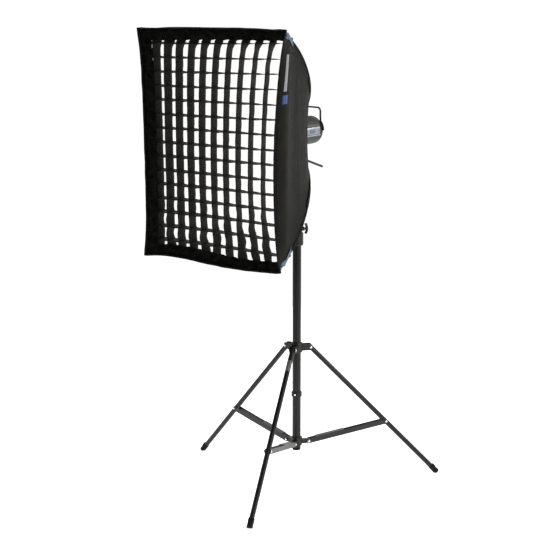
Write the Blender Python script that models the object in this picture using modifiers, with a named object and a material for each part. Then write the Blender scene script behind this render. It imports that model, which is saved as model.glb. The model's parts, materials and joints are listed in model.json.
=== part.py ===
"""Studio softbox with fabric grid, compact flash head and folding light stand.

Metres, +Z up, the softbox faces -Y. Shapes are drawn around the stand's column
axis and moved sideways at the end, so the whole object is centred on the origin.
"""
import math

import bmesh
import bpy
from mathutils import Matrix, Vector

for old in list(bpy.data.objects):
    bpy.data.objects.remove(old, do_unlink=True)

# ---- driving dimensions -------------------------------------------------
COLUMN_X = 0.0728
COLUMN_Y = 0.0881
GAP = 0.0003

BASE_R = 0.017
MIDDLE_R = 0.015
TOP_R = 0.0125
SPIGOT_R = 0.008
WALL = 0.0015
BASE_BOTTOM = 0.133
BASE_TOP = 0.985

LEG_ANGLES = (44.4, 164.4, 284.4)
LEG_PIVOT_R = 0.055
LEG_SPREAD = math.radians(44.06)
LEG_LENGTH = 0.762
LEG_R = 0.010
LEG_JOINT = 0.4524
HUB_PIVOT_R = 0.049
HUB_PIVOT_Z = 0.170
FOOT_R = 0.0119
FOOT_GRIP = 0.016
PIN_R = 0.0025
FOOT_AXIS_Z = 0.0104
COLLAR_Z = FOOT_AXIS_Z + LEG_LENGTH * math.cos(LEG_SPREAD)

CHANNEL_IN = 0.0108
CHANNEL_OUT = 0.0120
CHANNEL_H = 0.0095
WEB_FROM = 0.030
WEB_TO = 0.150

KNOB_ANGLE = 50.0
COLLAR_BOTTOM = 0.970
LOWER_KNOB_Z = 1.034
MIDDLE_BOTTOM = 0.300
MIDDLE_TOP = 1.100
UPPER_KNOB_Z = 1.106
TOP_BOTTOM = 0.450
TOP_TOP = 1.211
SPIGOT_TOP = 1.247

TILT_Z = 1.311
AXIS_Z = 1.416
SOCKET_BOTTOM = 1.213
SOCKET_TOP = 1.265
CHEEK_IN = 0.0140
CHEEK_OUT = 0.0200

HEAD_R = 0.055
HEAD_WALL = 0.0025
HEAD_FRONT = -0.0910
HEAD_REAR = 0.092
PANEL_REAR = 0.114

FRONT_Y = -0.602
BOX_X = 0.300
BOX_Z = 0.414
RIM = 0.047
SHELL_DEPTH = 0.500
RING_HALF = 0.096
BOW = 0.66
BOW_DEPTH = 1.0
PINCH_X = 0.052
PINCH_Z = -0.012
CLOTH = 0.002
GRID_DEPTH = 0.0455
GRID_COLUMNS = 11
GRID_ROWS = 16
STRIP = 0.0016
BORDER = 0.0028
ROD_R = 0.0035
ROD_INSET = 0.012
ROD_POCKET = 0.013

RING_Y0 = -0.1210
RING_Y1 = -0.0955
RING_IN = 0.0600
RING_OUT = 0.0800


# ---- collections and finishes -------------------------------------------
def new_collection(name):
    group = bpy.data.collections.new(name)
    bpy.context.scene.collection.children.link(group)
    return group


PARTS = new_collection("studio_softbox")
CUTTERS = new_collection("cutters")


def finish(name, colour, roughness, metallic):
    mat = bpy.data.materials.new(name)
    mat.use_nodes = True
    shader = mat.node_tree.nodes["Principled BSDF"]
    shader.inputs["Base Color"].default_value = (*colour, 1.0)
    shader.inputs["Roughness"].default_value = roughness
    shader.inputs["Metallic"].default_value = metallic
    return mat


BLACK_TUBE = finish("satin_black_tube", (0.030, 0.030, 0.032), 0.38, 0.6)
BLACK_PLASTIC = finish("black_plastic", (0.020, 0.020, 0.021), 0.50, 0.0)
RUBBER = finish("rubber", (0.012, 0.012, 0.012), 0.85, 0.0)
GREY_STEEL = finish("painted_steel", (0.045, 0.045, 0.048), 0.42, 0.5)
BRIGHT_STEEL = finish("bright_steel", (0.60, 0.60, 0.60), 0.25, 1.0)
SPRING_STEEL = finish("spring_steel", (0.28, 0.28, 0.29), 0.30, 1.0)
ALUMINIUM = finish("aluminium", (0.55, 0.56, 0.57), 0.35, 0.9)
HEAD_PAINT = finish("head_paint", (0.035, 0.035, 0.038), 0.45, 0.2)
SILVER_TRIM = finish("silver_trim", (0.62, 0.62, 0.64), 0.35, 0.6)
GLASS = finish("frosted_glass", (0.85, 0.86, 0.86), 0.25, 0.0)
LAMP_GLASS = finish("lamp_glass", (0.80, 0.78, 0.70), 0.15, 0.0)
BOARD = finish("circuit_board", (0.02, 0.12, 0.05), 0.55, 0.0)
CAN = finish("capacitor_can", (0.05, 0.08, 0.20), 0.40, 0.1)
BLACK_NYLON = finish("black_nylon", (0.018, 0.018, 0.019), 0.75, 0.0)
WHITE_NYLON = finish("white_nylon", (0.85, 0.85, 0.85), 0.80, 0.0)
GRID_CLOTH = finish("grid_cloth", (0.012, 0.012, 0.013), 0.80, 0.0)
BLUE_WEBBING = finish("blue_webbing", (0.05, 0.13, 0.24), 0.75, 0.0)
LABEL_CLOTH = finish("label_cloth", (0.70, 0.71, 0.72), 0.70, 0.0)
DIAL_GREY = finish("dial_grey", (0.25, 0.25, 0.26), 0.45, 0.0)
SWITCH_RED = finish("switch_red", (0.45, 0.04, 0.03), 0.40, 0.0)


# ---- building blocks ----------------------------------------------------
def place(name, data, mat, home=None):
    obj = bpy.data.objects.new(name, data)
    (home or PARTS).objects.link(obj)
    if mat is not None:
        data.materials.append(mat)
    if home is CUTTERS:
        obj.hide_render = True
        obj.display_type = "WIRE"
    return obj


def from_bmesh(name, bm, mat, home=None, smooth=False):
    bmesh.ops.recalc_face_normals(bm, faces=bm.faces)
    mesh = bpy.data.meshes.new(name)
    bm.to_mesh(mesh)
    bm.free()
    if smooth:
        for face in mesh.polygons:
            face.use_smooth = True
        mesh.set_sharp_from_angle(angle=math.radians(35))
    return place(name, mesh, mat, home)


def turned(name, profile, at, along, mat, steps=24, ring=False, home=None):
    """A turned piece; profile is (radius, height) down the outer side."""
    mesh = bpy.data.meshes.new(name)
    corners = [(r, 0.0, z) for r, z in profile]
    edges = [(i, i + 1) for i in range(len(corners) - 1)]
    if ring:
        edges.append((len(corners) - 1, 0))
    mesh.from_pydata(corners, edges, [])
    obj = place(name, mesh, mat, home)
    obj.location = at
    turn = Vector((0.0, 0.0, 1.0)).rotation_difference(Vector(along))
    obj.rotation_euler = turn.to_euler()
    screw = obj.modifiers.new("turn", "SCREW")
    screw.steps = steps
    screw.render_steps = steps
    screw.use_merge_vertices = True
    screw.merge_threshold = 0.00001
    return obj


def pipe(name, outer, inner, low, high, at, along, mat, steps=24, home=None):
    profile = [(outer, high), (outer, low), (inner, low), (inner, high)]
    return turned(name, profile, at, along, mat, steps, True, home)


def shaft(name, radius, low, high, at, along, mat, steps=24, home=None):
    profile = [(0.0, high), (radius, high), (radius, low), (0.0, low)]
    return turned(name, profile, at, along, mat, steps, False, home)


def block(name, size, centre, mat, home=None, bevel=0.0):
    bm = bmesh.new()
    bmesh.ops.create_cube(bm, size=1.0)
    bmesh.ops.scale(bm, vec=Vector(size), verts=bm.verts)
    bmesh.ops.translate(bm, vec=Vector(centre), verts=bm.verts)
    obj = from_bmesh(name, bm, mat, home)
    if bevel:
        add_bevel(obj, bevel)
    return obj


def add_bevel(obj, width, segments=1):
    edge = obj.modifiers.new("edge", "BEVEL")
    edge.width = width
    edge.segments = segments
    edge.limit_method = "ANGLE"
    edge.angle_limit = math.radians(40)


def prism(name, outline, axis, low, high, mat, home=None, hole=None):
    """A flat outline pushed along one axis, with an optional matching hole."""
    def point(pair, depth):
        spot = list(pair)
        spot.insert("XYZ".index(axis), depth)
        return Vector(spot)

    bm = bmesh.new()
    rings = []
    for loop in [outline] + ([hole] if hole else []):
        rings.append([bm.verts.new(point(p, low)) for p in loop])
        rings.append([bm.verts.new(point(p, high)) for p in loop])
    count = len(outline)
    for first in range(0, len(rings), 2):
        for i in range(count):
            j = (i + 1) % count
            bm.faces.new((rings[first][i], rings[first][j],
                          rings[first + 1][j], rings[first + 1][i]))
    if hole:
        for level in (0, 1):
            outside = rings[level]
            inside = rings[level + 2]
            for i in range(count):
                j = (i + 1) % count
                bm.faces.new((outside[i], outside[j], inside[j], inside[i]))
    else:
        bm.faces.new(rings[0])
        bm.faces.new(rings[1])
    return from_bmesh(name, bm, mat, home)


def rounded(half_a, half_b, radius, per_corner=4, centre=(0.0, 0.0)):
    points = []
    corners = ((1, 1, 0), (-1, 1, 90), (-1, -1, 180), (1, -1, 270))
    for side_a, side_b, start in corners:
        for step in range(per_corner + 1):
            angle = math.radians(start + 90.0 * step / per_corner)
            a = side_a * (half_a - radius) + radius * math.cos(angle)
            b = side_b * (half_b - radius) + radius * math.sin(angle)
            points.append((centre[0] + a, centre[1] + b))
    return points


def wire(name, points, radius, mat, sides=2, home=None):
    """A round rod along a path, as a closed mesh."""
    curve = bpy.data.curves.new(name, "CURVE")
    curve.dimensions = "3D"
    curve.bevel_depth = radius
    curve.bevel_resolution = sides
    curve.use_fill_caps = True
    line = curve.splines.new("POLY")
    line.points.add(len(points) - 1)
    for spot, target in zip(line.points, points):
        spot.co = (*target, 1.0)
    holder = bpy.data.objects.new(name + "_path", curve)
    bpy.context.scene.collection.objects.link(holder)
    depsgraph = bpy.context.evaluated_depsgraph_get()
    mesh = bpy.data.meshes.new_from_object(holder.evaluated_get(depsgraph))
    bpy.data.objects.remove(holder, do_unlink=True)
    bm = bmesh.new()
    bm.from_mesh(mesh)
    bmesh.ops.remove_doubles(bm, verts=bm.verts, dist=0.00001)
    bpy.data.meshes.remove(mesh)
    return from_bmesh(name, bm, mat, home, smooth=True)


def combine(target, operation, *others):
    for other in others:
        step = target.modifiers.new(operation.lower(), "BOOLEAN")
        step.operation = operation
        step.solver = "EXACT"
        step.object = other
    return target


def fuse(target, *others):
    return combine(target, "UNION", *others)


def cut(target, *others):
    return combine(target, "DIFFERENCE", *others)


def shift_origin(obj, origin):
    """Moves a mesh object's origin without moving its shape."""
    obj.data.transform(Matrix.Translation(-Vector(origin)))
    obj.location = Vector(obj.location) + Vector(origin)


def radial(angle):
    return Vector((math.cos(math.radians(angle)), math.sin(math.radians(angle)), 0.0))


def facing(angle, pitch):
    """Turns local +X to point outward at this angle, pitched down."""
    return Matrix.Rotation(math.radians(angle), 4, "Z") @ Matrix.Rotation(pitch, 4, "Y")


def seat(obj, angle, pitch, origin):
    """Puts a piece drawn along local +X at its pivot on the stand."""
    obj.matrix_world = Matrix.Translation(origin) @ facing(angle, pitch)
    return obj


# ---- stand --------------------------------------------------------------
def build_column():
    pipe("base_tube", BASE_R, BASE_R - WALL, BASE_BOTTOM + 0.0123, BASE_TOP,
         (0, 0, 0), (0, 0, 1), BLACK_TUBE, 28)
    low = BASE_BOTTOM
    profile = [(0.0, low + 0.034), (0.0150, low + 0.034), (0.0150, low + 0.012),
               (0.0170, low + 0.012), (0.0170, low + 0.006), (0.0140, low + 0.0015),
               (0.0090, low), (0.0, low)]
    turned("base_plug", profile, (0, 0, 0), (0, 0, 1), RUBBER, 20)


def lug_shape(reach, half_height, root):
    """Side outline of a lug: square at the root, rounded past the pivot."""
    points = [(root, half_height), (root, -half_height)]
    for step in range(5):
        angle = math.radians(-90 + 45 * step)
        points.append((reach + 0.0085 * math.cos(angle),
                       half_height * math.sin(angle)))
    return points


def build_lower_hub():
    hub = turned("lower_hub",
                 [(0.0225, 0.189), (0.0225, 0.156), (BASE_R + GAP, 0.156),
                  (BASE_R + GAP, 0.189)],
                 (0, 0, 0), (0, 0, 1), GREY_STEEL, 24, True)
    for number, angle in enumerate(LEG_ANGLES, 1):
        centre = HUB_PIVOT_Z
        outline = [(r, centre + z) for r, z in lug_shape(HUB_PIVOT_R, 0.0085, 0.0195)]
        lug = prism(f"hub_lug_{number}", outline, "Y", -0.0100, 0.0100, None, CUTTERS)
        lug.matrix_world = Matrix.Rotation(math.radians(angle), 4, "Z")
        side = radial(angle + 90)
        spot = radial(angle) * HUB_PIVOT_R + Vector((0, 0, centre))
        pin = shaft(f"hub_pin_{number}", PIN_R, -0.0134, 0.0134, spot, side, None,
                    8, CUTTERS)
        fuse(hub, lug, pin)


def build_leg_collar():
    low = COLLAR_Z - 0.019
    high = COLLAR_Z + 0.019
    collar = turned("leg_collar",
                    [(0.0235, high - 0.002), (0.0235, low + 0.002), (0.0225, low),
                     (BASE_R + GAP, low), (BASE_R + GAP, high), (0.0225, high)],
                    (0, 0, 0), (0, 0, 1), GREY_STEEL, 24, True)
    for number, angle in enumerate(LEG_ANGLES, 1):
        outline = [(r, COLLAR_Z + z) for r, z in lug_shape(LEG_PIVOT_R, 0.0130, 0.0205)]
        turn = Matrix.Rotation(math.radians(angle), 4, "Z")
        for side, span in (("a", (0.0105, 0.0125)), ("b", (-0.0125, -0.0105))):
            lug = prism(f"collar_lug_{number}{side}", outline, "Y", *span, None, CUTTERS)
            lug.matrix_world = turn
            fuse(collar, lug)
        spot = radial(angle) * LEG_PIVOT_R + Vector((0, 0, COLLAR_Z))
        pin = shaft(f"collar_pin_{number}", PIN_R, -0.0145, 0.0145, spot,
                    radial(angle + 90), None, 12, CUTTERS)
        fuse(collar, pin)
    collar.location = (0, 0, 0)


def build_leg(number, angle):
    origin = radial(angle) * LEG_PIVOT_R + Vector((0, 0, COLLAR_Z))
    pitch = math.pi / 2 - LEG_SPREAD
    end = LEG_LENGTH - 0.012
    tube = prism(f"leg_{number}", circle(LEG_R, 18), "X", -0.012, end, BLACK_TUBE,
                 hole=circle(LEG_R - 0.0012, 18))
    hole = prism(f"leg_hole_{number}", circle(PIN_R + GAP, 10), "Y", -0.02, 0.02, None,
                 CUTTERS)
    seat(tube, angle, pitch, origin)
    seat(hole, angle, pitch, origin)
    cut(tube, hole)
    build_foot(number, angle, pitch, origin, end)


def circle(radius, count):
    points = []
    for step in range(count):
        turn = 2 * math.pi * (step + 0.5) / count
        points.append((radius * math.cos(turn), radius * math.sin(turn)))
    return points


def build_foot(number, angle, pitch, origin, end):
    start = end - FOOT_GRIP
    finish_at = end + 0.022
    foot = prism(f"foot_{number}", circle(FOOT_R, 18), "X", start, finish_at, RUBBER)
    bore = prism(f"foot_bore_{number}", circle(LEG_R + GAP, 18), "X", start - 0.01,
                 end + GAP, None, CUTTERS)
    seat(foot, angle, pitch, origin)
    seat(bore, angle, pitch, origin)
    floor = block(f"floor_{number}", (0.2, 0.2, 0.1), (0, 0, -0.05), None, CUTTERS)
    spot = origin + facing(angle, pitch) @ Vector((LEG_LENGTH, 0, 0))
    floor.location = (spot.x, spot.y, 0.0)
    cut(foot, bore, floor)


def joint_point():
    """Where the stretcher meets the leg, seen from the side of that leg."""
    radius = LEG_PIVOT_R + LEG_JOINT * math.sin(LEG_SPREAD)
    height = COLLAR_Z - LEG_JOINT * math.cos(LEG_SPREAD)
    return radius, height


def stretcher_side(length):
    points = []
    for step in range(5):
        turn = math.radians(90 + 45 * step)
        points.append((0.008 * math.cos(turn), CHANNEL_H * math.sin(turn)))
    for step in range(5):
        turn = math.radians(-90 + 45 * step)
        points.append((length + 0.008 * math.cos(turn), CHANNEL_H * math.sin(turn)))
    return points


def build_stretcher(number, angle):
    radius, height = joint_point()
    rise = math.atan2(height - HUB_PIVOT_Z, radius - HUB_PIVOT_R)
    length = math.hypot(height - HUB_PIVOT_Z, radius - HUB_PIVOT_R)
    origin = radial(angle) * HUB_PIVOT_R + Vector((0, 0, HUB_PIVOT_Z))
    shape = stretcher_side(length)
    main = prism(f"stretcher_{number}", shape, "Y", CHANNEL_IN, CHANNEL_OUT, ALUMINIUM)
    other = prism(f"channel_side_{number}", shape, "Y", -CHANNEL_OUT, -CHANNEL_IN, None,
                  CUTTERS)
    middle = (WEB_FROM + WEB_TO) / 2
    web = block(f"channel_web_{number}",
                (WEB_TO - WEB_FROM, 2 * CHANNEL_OUT, 0.0034),
                (middle, 0, CHANNEL_H + 0.0007), None, CUTTERS)
    head_a = prism(f"rivet_a_{number}", circle(0.0045, 10), "Y", CHANNEL_OUT - 0.0005,
                   CHANNEL_OUT + 0.0018, None, CUTTERS)
    head_b = prism(f"rivet_b_{number}", circle(0.0045, 10), "Y", -CHANNEL_OUT - 0.0018,
                   -CHANNEL_OUT + 0.0005, None, CUTTERS)
    for rivet in (head_a, head_b):
        rivet.data.transform(Matrix.Translation((length, 0, 0)))
    hole = prism(f"channel_hole_{number}", circle(PIN_R + GAP, 10), "Y", -0.02, 0.02,
                 None, CUTTERS)
    for piece in (main, other, web, head_a, head_b, hole):
        seat(piece, angle, -rise, origin)
    fuse(main, web, other, head_a, head_b)
    cut(main, hole)


def build_stop_ring():
    low = 0.357
    high = 0.376
    pipe("stop_ring", 0.0208, BASE_R + GAP, low, high, (0, 0, 0), (0, 0, 1),
         BLACK_PLASTIC, 24)
    spot = Vector((0, 0, (low + high) / 2))
    profile = [(0.0, 0.0245), (0.0025, 0.0245), (0.0036, 0.0235), (0.0036, 0.0211),
               (0.0, 0.0211)]
    turned("stop_ring_screw", profile, spot, radial(284.0), BRIGHT_STEEL, 12)


def collar_profile(low, high, big, neck, inner_low, inner_high, step_at):
    return [(neck, high), (neck, high - 0.026), (big, high - 0.028), (big, low + 0.003),
            (big - 0.002, low), (inner_low, low), (inner_low, step_at),
            (inner_high, step_at), (inner_high, high)]


def build_top_collar():
    high = LOWER_KNOB_Z + 0.013
    profile = collar_profile(COLLAR_BOTTOM, high, 0.0250, 0.0205, BASE_R + GAP, MIDDLE_R + GAP,
                             BASE_TOP + GAP)
    collar = turned("top_collar", profile, (0, 0, 0), (0, 0, 1), BLACK_PLASTIC, 24, True)
    boss = shaft("top_collar_boss", 0.0085, 0.0185, 0.0290, (0, 0, LOWER_KNOB_Z),
                 radial(KNOB_ANGLE), None, 12, CUTTERS)
    fuse(collar, boss)


def t_knob(name, angle, height, start, reach, mat):
    """A clamp knob: short stem and a curved cross bar, turning on its stem."""
    aim = radial(angle)
    spot = Vector((0, 0, height))
    profile = [(0.0, reach), (0.0050, reach), (0.0060, reach - 0.004),
               (0.0045, start + 0.003), (0.0045, start), (0.0, start)]
    knob = turned(name, profile, spot, aim, mat, 12)
    path = []
    for step in range(7):
        share = step / 3 - 1
        out = reach - 0.002 - 0.006 * share * share
        path.append(spot + aim * out + Vector((0, 0, 0.0205 * share)))
    bar = wire(name + "_bar", path, 0.0052, None, 1, CUTTERS)
    fuse(knob, bar)
    return knob


def build_middle_tube():
    pipe("middle_tube", MIDDLE_R, MIDDLE_R - WALL, MIDDLE_BOTTOM, MIDDLE_TOP, (0, 0, 0),
         (0, 0, 1), BLACK_TUBE, 24)
    high = UPPER_KNOB_Z + 0.013
    profile = collar_profile(1.0735, high, 0.0225, 0.0185, MIDDLE_R + GAP, TOP_R + GAP,
                             MIDDLE_TOP + GAP)
    profile[1] = (0.0185, high - 0.022)
    profile[2] = (0.0225, high - 0.024)
    collar = turned("middle_collar", profile, (0, 0, 0), (0, 0, 1), BLACK_PLASTIC, 24,
                    True)
    boss = shaft("middle_collar_boss", 0.0080, 0.0165, 0.0265, (0, 0, UPPER_KNOB_Z),
                 radial(KNOB_ANGLE), None, 12, CUTTERS)
    fuse(collar, boss)


def build_top_tube():
    profile = [(0.0, SPIGOT_TOP), (SPIGOT_R - 0.001, SPIGOT_TOP),
               (SPIGOT_R, SPIGOT_TOP - 0.001), (SPIGOT_R, TOP_TOP),
               (TOP_R, TOP_TOP), (TOP_R, TOP_BOTTOM), (0.0110, TOP_BOTTOM),
               (0.0110, TOP_TOP - 0.010), (0.0, TOP_TOP - 0.010)]
    turned("top_tube", profile, (0, 0, 0), (0, 0, 1), BLACK_TUBE, 20)


# ---- tilting bracket ----------------------------------------------------
def build_bracket():
    socket = turned("bracket_socket",
                    [(0.0, SOCKET_TOP), (0.0190, SOCKET_TOP), (0.0200, SOCKET_TOP - 0.006),
                     (0.0200, SOCKET_BOTTOM + 0.002), (0.0185, SOCKET_BOTTOM),
                     (SPIGOT_R + GAP, SOCKET_BOTTOM),
                     (SPIGOT_R + GAP, SPIGOT_TOP + 0.003), (0.0, SPIGOT_TOP + 0.003)],
                    (0, 0, 0), (0, 0, 1), BLACK_PLASTIC, 24)
    for side, span in (("right", (CHEEK_IN, CHEEK_OUT)),
                       ("left", (-CHEEK_OUT, -CHEEK_IN))):
        outline = [(-0.0130, SOCKET_TOP - 0.006), (0.0130, SOCKET_TOP - 0.006)]
        for step in range(7):
            turn = math.radians(30 * step)
            outline.append((0.0165 * math.cos(turn), TILT_Z + 0.0165 * math.sin(turn)))
        cheek = prism(f"cheek_{side}", outline, "X", *span, None, CUTTERS)
        fuse(socket, cheek)
    boss = shaft("socket_boss", 0.0080, 0.0175, 0.0250, (0, 0, SOCKET_BOTTOM + 0.020),
                 radial(180.0), None, 12, CUTTERS)
    bolt_hole = shaft("bolt_hole", 0.0040 + GAP, -0.03, 0.03, (0, 0, TILT_Z), (1, 0, 0),
                      None, 12, CUTTERS)
    fuse(socket, boss)
    cut(socket, bolt_hole)
    profile = [(0.0, 0.0205), (0.0040, 0.0205), (0.0040, -0.0203), (0.0075, -0.0203),
               (0.0075, -0.0260), (0.0, -0.0260)]
    turned("tilt_bolt", profile, (0, 0, TILT_Z), (1, 0, 0), BRIGHT_STEEL, 16)


def build_tilt_lever():
    profile = [(0.0, 0.0310), (0.0110, 0.0310), (0.0130, 0.0290), (0.0130, 0.0208),
               (0.0, 0.0208)]
    lever = turned("tilt_lever", profile, (0, 0, TILT_Z), (1, 0, 0), BLACK_PLASTIC, 20)
    start = Vector((0.0262, 0.004, TILT_Z - 0.001))
    middle = Vector((0.0330, 0.030, TILT_Z - 0.010))
    end = Vector((0.0580, 0.0940, TILT_Z - 0.036))
    handle = wire("lever_arm", [start, middle, end], 0.0046, None, 2, CUTTERS)
    fuse(lever, handle)


def build_head_foot():
    """The block under the flash head that tilts between the bracket cheeks."""
    bottom = AXIS_Z - HEAD_R
    outline = [(-0.032, bottom - GAP), (-0.032, bottom - 0.010), (-0.0160, TILT_Z + 0.014)]
    for step in range(9):
        turn = math.radians(180 + 22.5 * step)
        outline.append((0.0150 * math.cos(turn), TILT_Z + 0.0150 * math.sin(turn)))
    outline += [(0.0160, TILT_Z + 0.014), (0.032, bottom - 0.010), (0.032, bottom - GAP)]
    foot = prism("head_foot", outline, "X", -CHEEK_IN + GAP, CHEEK_IN - GAP,
                 BLACK_PLASTIC)
    shift_origin(foot, (0, 0, TILT_Z))
    hole = shaft("foot_bolt_hole", 0.0040 + GAP, -0.03, 0.03, (0, 0, TILT_Z), (1, 0, 0),
                 None, 12, CUTTERS)
    cut(foot, hole)


# ---- flash head ---------------------------------------------------------
def build_housing():
    low = HEAD_FRONT + 0.0043
    pipe("head_housing", HEAD_R, HEAD_R - HEAD_WALL, low, HEAD_REAR, (0, 0, AXIS_Z),
         (0, 1, 0), HEAD_PAINT, 32)


def build_head_mount():
    """The front plate with the bayonet sleeve that carries the speed ring."""
    y = HEAD_FRONT
    profile = [(0.0, -0.0040), (0.0585, -0.0040), (0.0585, 0.0), (0.0594, 0.0),
               (0.0594, 0.0240), (0.0555, 0.0240), (0.0555, 0.0040), (0.0, 0.0040)]
    profile.reverse()
    mount = turned("head_mount", profile, (0, y, AXIS_Z), (0, -1, 0), ALUMINIUM, 32)
    return mount


def build_rear_panel():
    profile = [(0.0, PANEL_REAR), (0.0420, PANEL_REAR), (0.0505, PANEL_REAR - 0.0035),
               (HEAD_R, PANEL_REAR - 0.0110), (HEAD_R, HEAD_REAR + GAP),
               (0.0, HEAD_REAR + GAP)]
    panel = turned("rear_panel", profile, (0, 0, AXIS_Z), (0, 1, 0), BLACK_PLASTIC, 32)
    pockets = [
        shaft("dial_pocket", 0.0145, -0.004, 0.01, (-0.022, PANEL_REAR, AXIS_Z + 0.018),
              (0, 1, 0), None, 24, CUTTERS),
        shaft("button_pocket", 0.0068, -0.010, 0.01, (0.014, PANEL_REAR, AXIS_Z + 0.024),
              (0, 1, 0), None, 12, CUTTERS),
        block("switch_pocket", (0.0206, 0.030, 0.0136),
              (0.022, PANEL_REAR + 0.003, AXIS_Z - 0.002), None, CUTTERS),
        block("inlet_pocket", (0.0306, 0.036, 0.0246),
              (0.0, PANEL_REAR + 0.0, AXIS_Z - 0.034), None, CUTTERS),
    ]
    cut(panel, *pockets)


def build_controls():
    dial_at = (-0.022, PANEL_REAR, AXIS_Z + 0.018)
    profile = [(0.0, 0.0120), (0.0105, 0.0120), (0.0118, 0.0105), (0.0122, 0.0),
               (0.0135, -0.0010), (0.0135, -0.0036), (0.0, -0.0036)]
    dial = turned("power_dial", profile, dial_at, (0, 1, 0), DIAL_GREY, 24)
    mark = block("dial_mark", (0.0016, 0.004, 0.010),
                 (dial_at[0], PANEL_REAR + 0.0125, dial_at[2] + 0.006), None, CUTTERS)
    cut(dial, mark)
    profile = [(0.0, 0.0030), (0.0052, 0.0030), (0.0062, 0.0020), (0.0062, -0.0060),
               (0.0, -0.0060)]
    turned("test_button", profile, (0.014, PANEL_REAR, AXIS_Z + 0.024), (0, 1, 0),
           SWITCH_RED, 16)
    outline = [(PANEL_REAR - 0.009, -0.0056), (PANEL_REAR - 0.009, 0.0056),
               (PANEL_REAR + 0.0026, 0.0056), (PANEL_REAR + 0.0008, 0.0),
               (PANEL_REAR + 0.0006, -0.0056)]
    outline = [(y, AXIS_Z - 0.002 + z) for y, z in outline]
    switch = prism("lamp_switch", outline, "X", 0.0124, 0.0316, BLACK_PLASTIC)
    shift_origin(switch, (0.022, PANEL_REAR - 0.006, AXIS_Z - 0.002))


def build_inlet():
    centre = (0.0, AXIS_Z - 0.034)
    outer = rounded(0.0150, 0.0120, 0.0030, 2, centre)
    inner = rounded(0.0115, 0.0080, 0.0020, 2, centre)
    inlet = prism("mains_inlet", outer, "Y", PANEL_REAR - 0.0175, PANEL_REAR + 0.0010,
                  BLACK_PLASTIC)
    well = prism("inlet_well", inner, "Y", PANEL_REAR - 0.0140, PANEL_REAR + 0.01, None,
                 CUTTERS)
    shift_origin(inlet, (0, 0, TILT_Z))
    cut(inlet, well)


def build_handle():
    """The carrying arch that stands over the back of the head."""
    y = 0.0990
    hug = HEAD_R + 0.0042
    right = []
    for step in range(4):
        turn = math.radians(13.0 * step)
        right.append((hug * math.cos(turn), hug * math.sin(turn)))
    right += [(0.0452, 0.056), (0.0452, 0.076), (0.0420, 0.0850), (0.0350, 0.0888)]
    outline = right + [(0.0, 0.0900)] + [(-x, z) for x, z in reversed(right)]
    path = [(x, y, AXIS_Z + z) for x, z in outline]
    handle = wire("carry_handle", path, 0.0038, BLACK_PLASTIC, 1)
    shift_origin(handle, (0, 0, TILT_Z))


def build_side_trim(name, side):
    """A bright strip that follows the round side of the head."""
    outline = []
    for radius, order in ((HEAD_R + GAP, (-2, -1, 0, 1, 2)),
                          (HEAD_R + 0.0020, (2, 1, 0, -1, -2))):
        for step in order:
            turn = math.radians(3.0 + 7.0 * step)
            outline.append((side * radius * math.cos(turn),
                            AXIS_Z + radius * math.sin(turn)))
    trim = prism(name, outline, "Y", -0.060, 0.078, SILVER_TRIM)
    shift_origin(trim, (0, 0, TILT_Z))


def build_lamps():
    y = HEAD_FRONT - 0.0044
    centre = Vector((0, y, AXIS_Z))
    path = [centre + Vector((0.012, 0, -0.030)), centre + Vector((0.012, -0.026, -0.030))]
    for step in range(13):
        turn = math.radians(-68 + 26.33 * step)
        path.append(centre + Vector((0.033 * math.cos(turn), -0.032,
                                     0.033 * math.sin(turn))))
    path.append(centre + Vector((-0.012, -0.026, -0.030)))
    path.append(centre + Vector((-0.012, 0, -0.030)))
    tube = wire("flash_tube", path, 0.0040, LAMP_GLASS, 1)
    shift_origin(tube, (0, 0, TILT_Z))
    profile = [(0.0, 0.0620), (0.0120, 0.0600), (0.0190, 0.0530), (0.0215, 0.0440),
               (0.0190, 0.0350), (0.0130, 0.0270), (0.0125, 0.0), (0.0, 0.0)]
    turned("modelling_lamp", profile, centre, (0, -1, 0), LAMP_GLASS, 20)
    profile = []
    for step in range(6):
        turn = math.radians(90 - 17 * step)
        profile.append((0.0500 * math.cos(turn), 0.020 + 0.0540 * math.sin(turn)))
    profile.append((0.0520, 0.0))
    inner = []
    for r, z in reversed(profile):
        inner.append((max(r - 0.0018, 0.0), z - (0.0018 if z > 0.03 else 0.0)))
    turned("glass_dome", profile + inner, centre, (0, -1, 0), GLASS, 24)


def build_electronics():
    board = block("circuit_board", (0.086, 0.150, 0.0016), (0, -0.005, AXIS_Z - 0.026),
                  BOARD)
    shift_origin(board, (0, 0, TILT_Z))
    shaft("capacitor", 0.022, -0.075, 0.020, (0, 0, AXIS_Z + 0.004), (0, 1, 0), CAN, 20)


# ---- softbox ------------------------------------------------------------
def shell_station(share):
    """Half width, half height and depth of the shell; share 0 front, 1 ring."""
    fall = 2 * share * (1 - share) * BOW + share * share
    sink = 2 * share * (1 - share) * BOW_DEPTH + share * share
    half_x = BOX_X + (RING_HALF - BOX_X) * fall
    half_z = BOX_Z + (RING_HALF - BOX_Z) * fall
    return half_x, half_z, RIM + (SHELL_DEPTH - RIM) * sink


def stations(count):
    return [(BOX_X, BOX_Z, 0.0)] + [shell_station(i / count) for i in range(count + 1)]


def pinched(x, z, half_x, half_z):
    """Cloth pulled in between the corners, like a pincushion."""
    across = 1 - (x / half_x) ** 2
    along = 1 - (z / half_z) ** 2
    return x * (1 - PINCH_X * along), z * (1 - PINCH_Z * across)


def softbox_point(x, depth, z):
    return Vector((x, FRONT_Y + depth, AXIS_Z + z))


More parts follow.
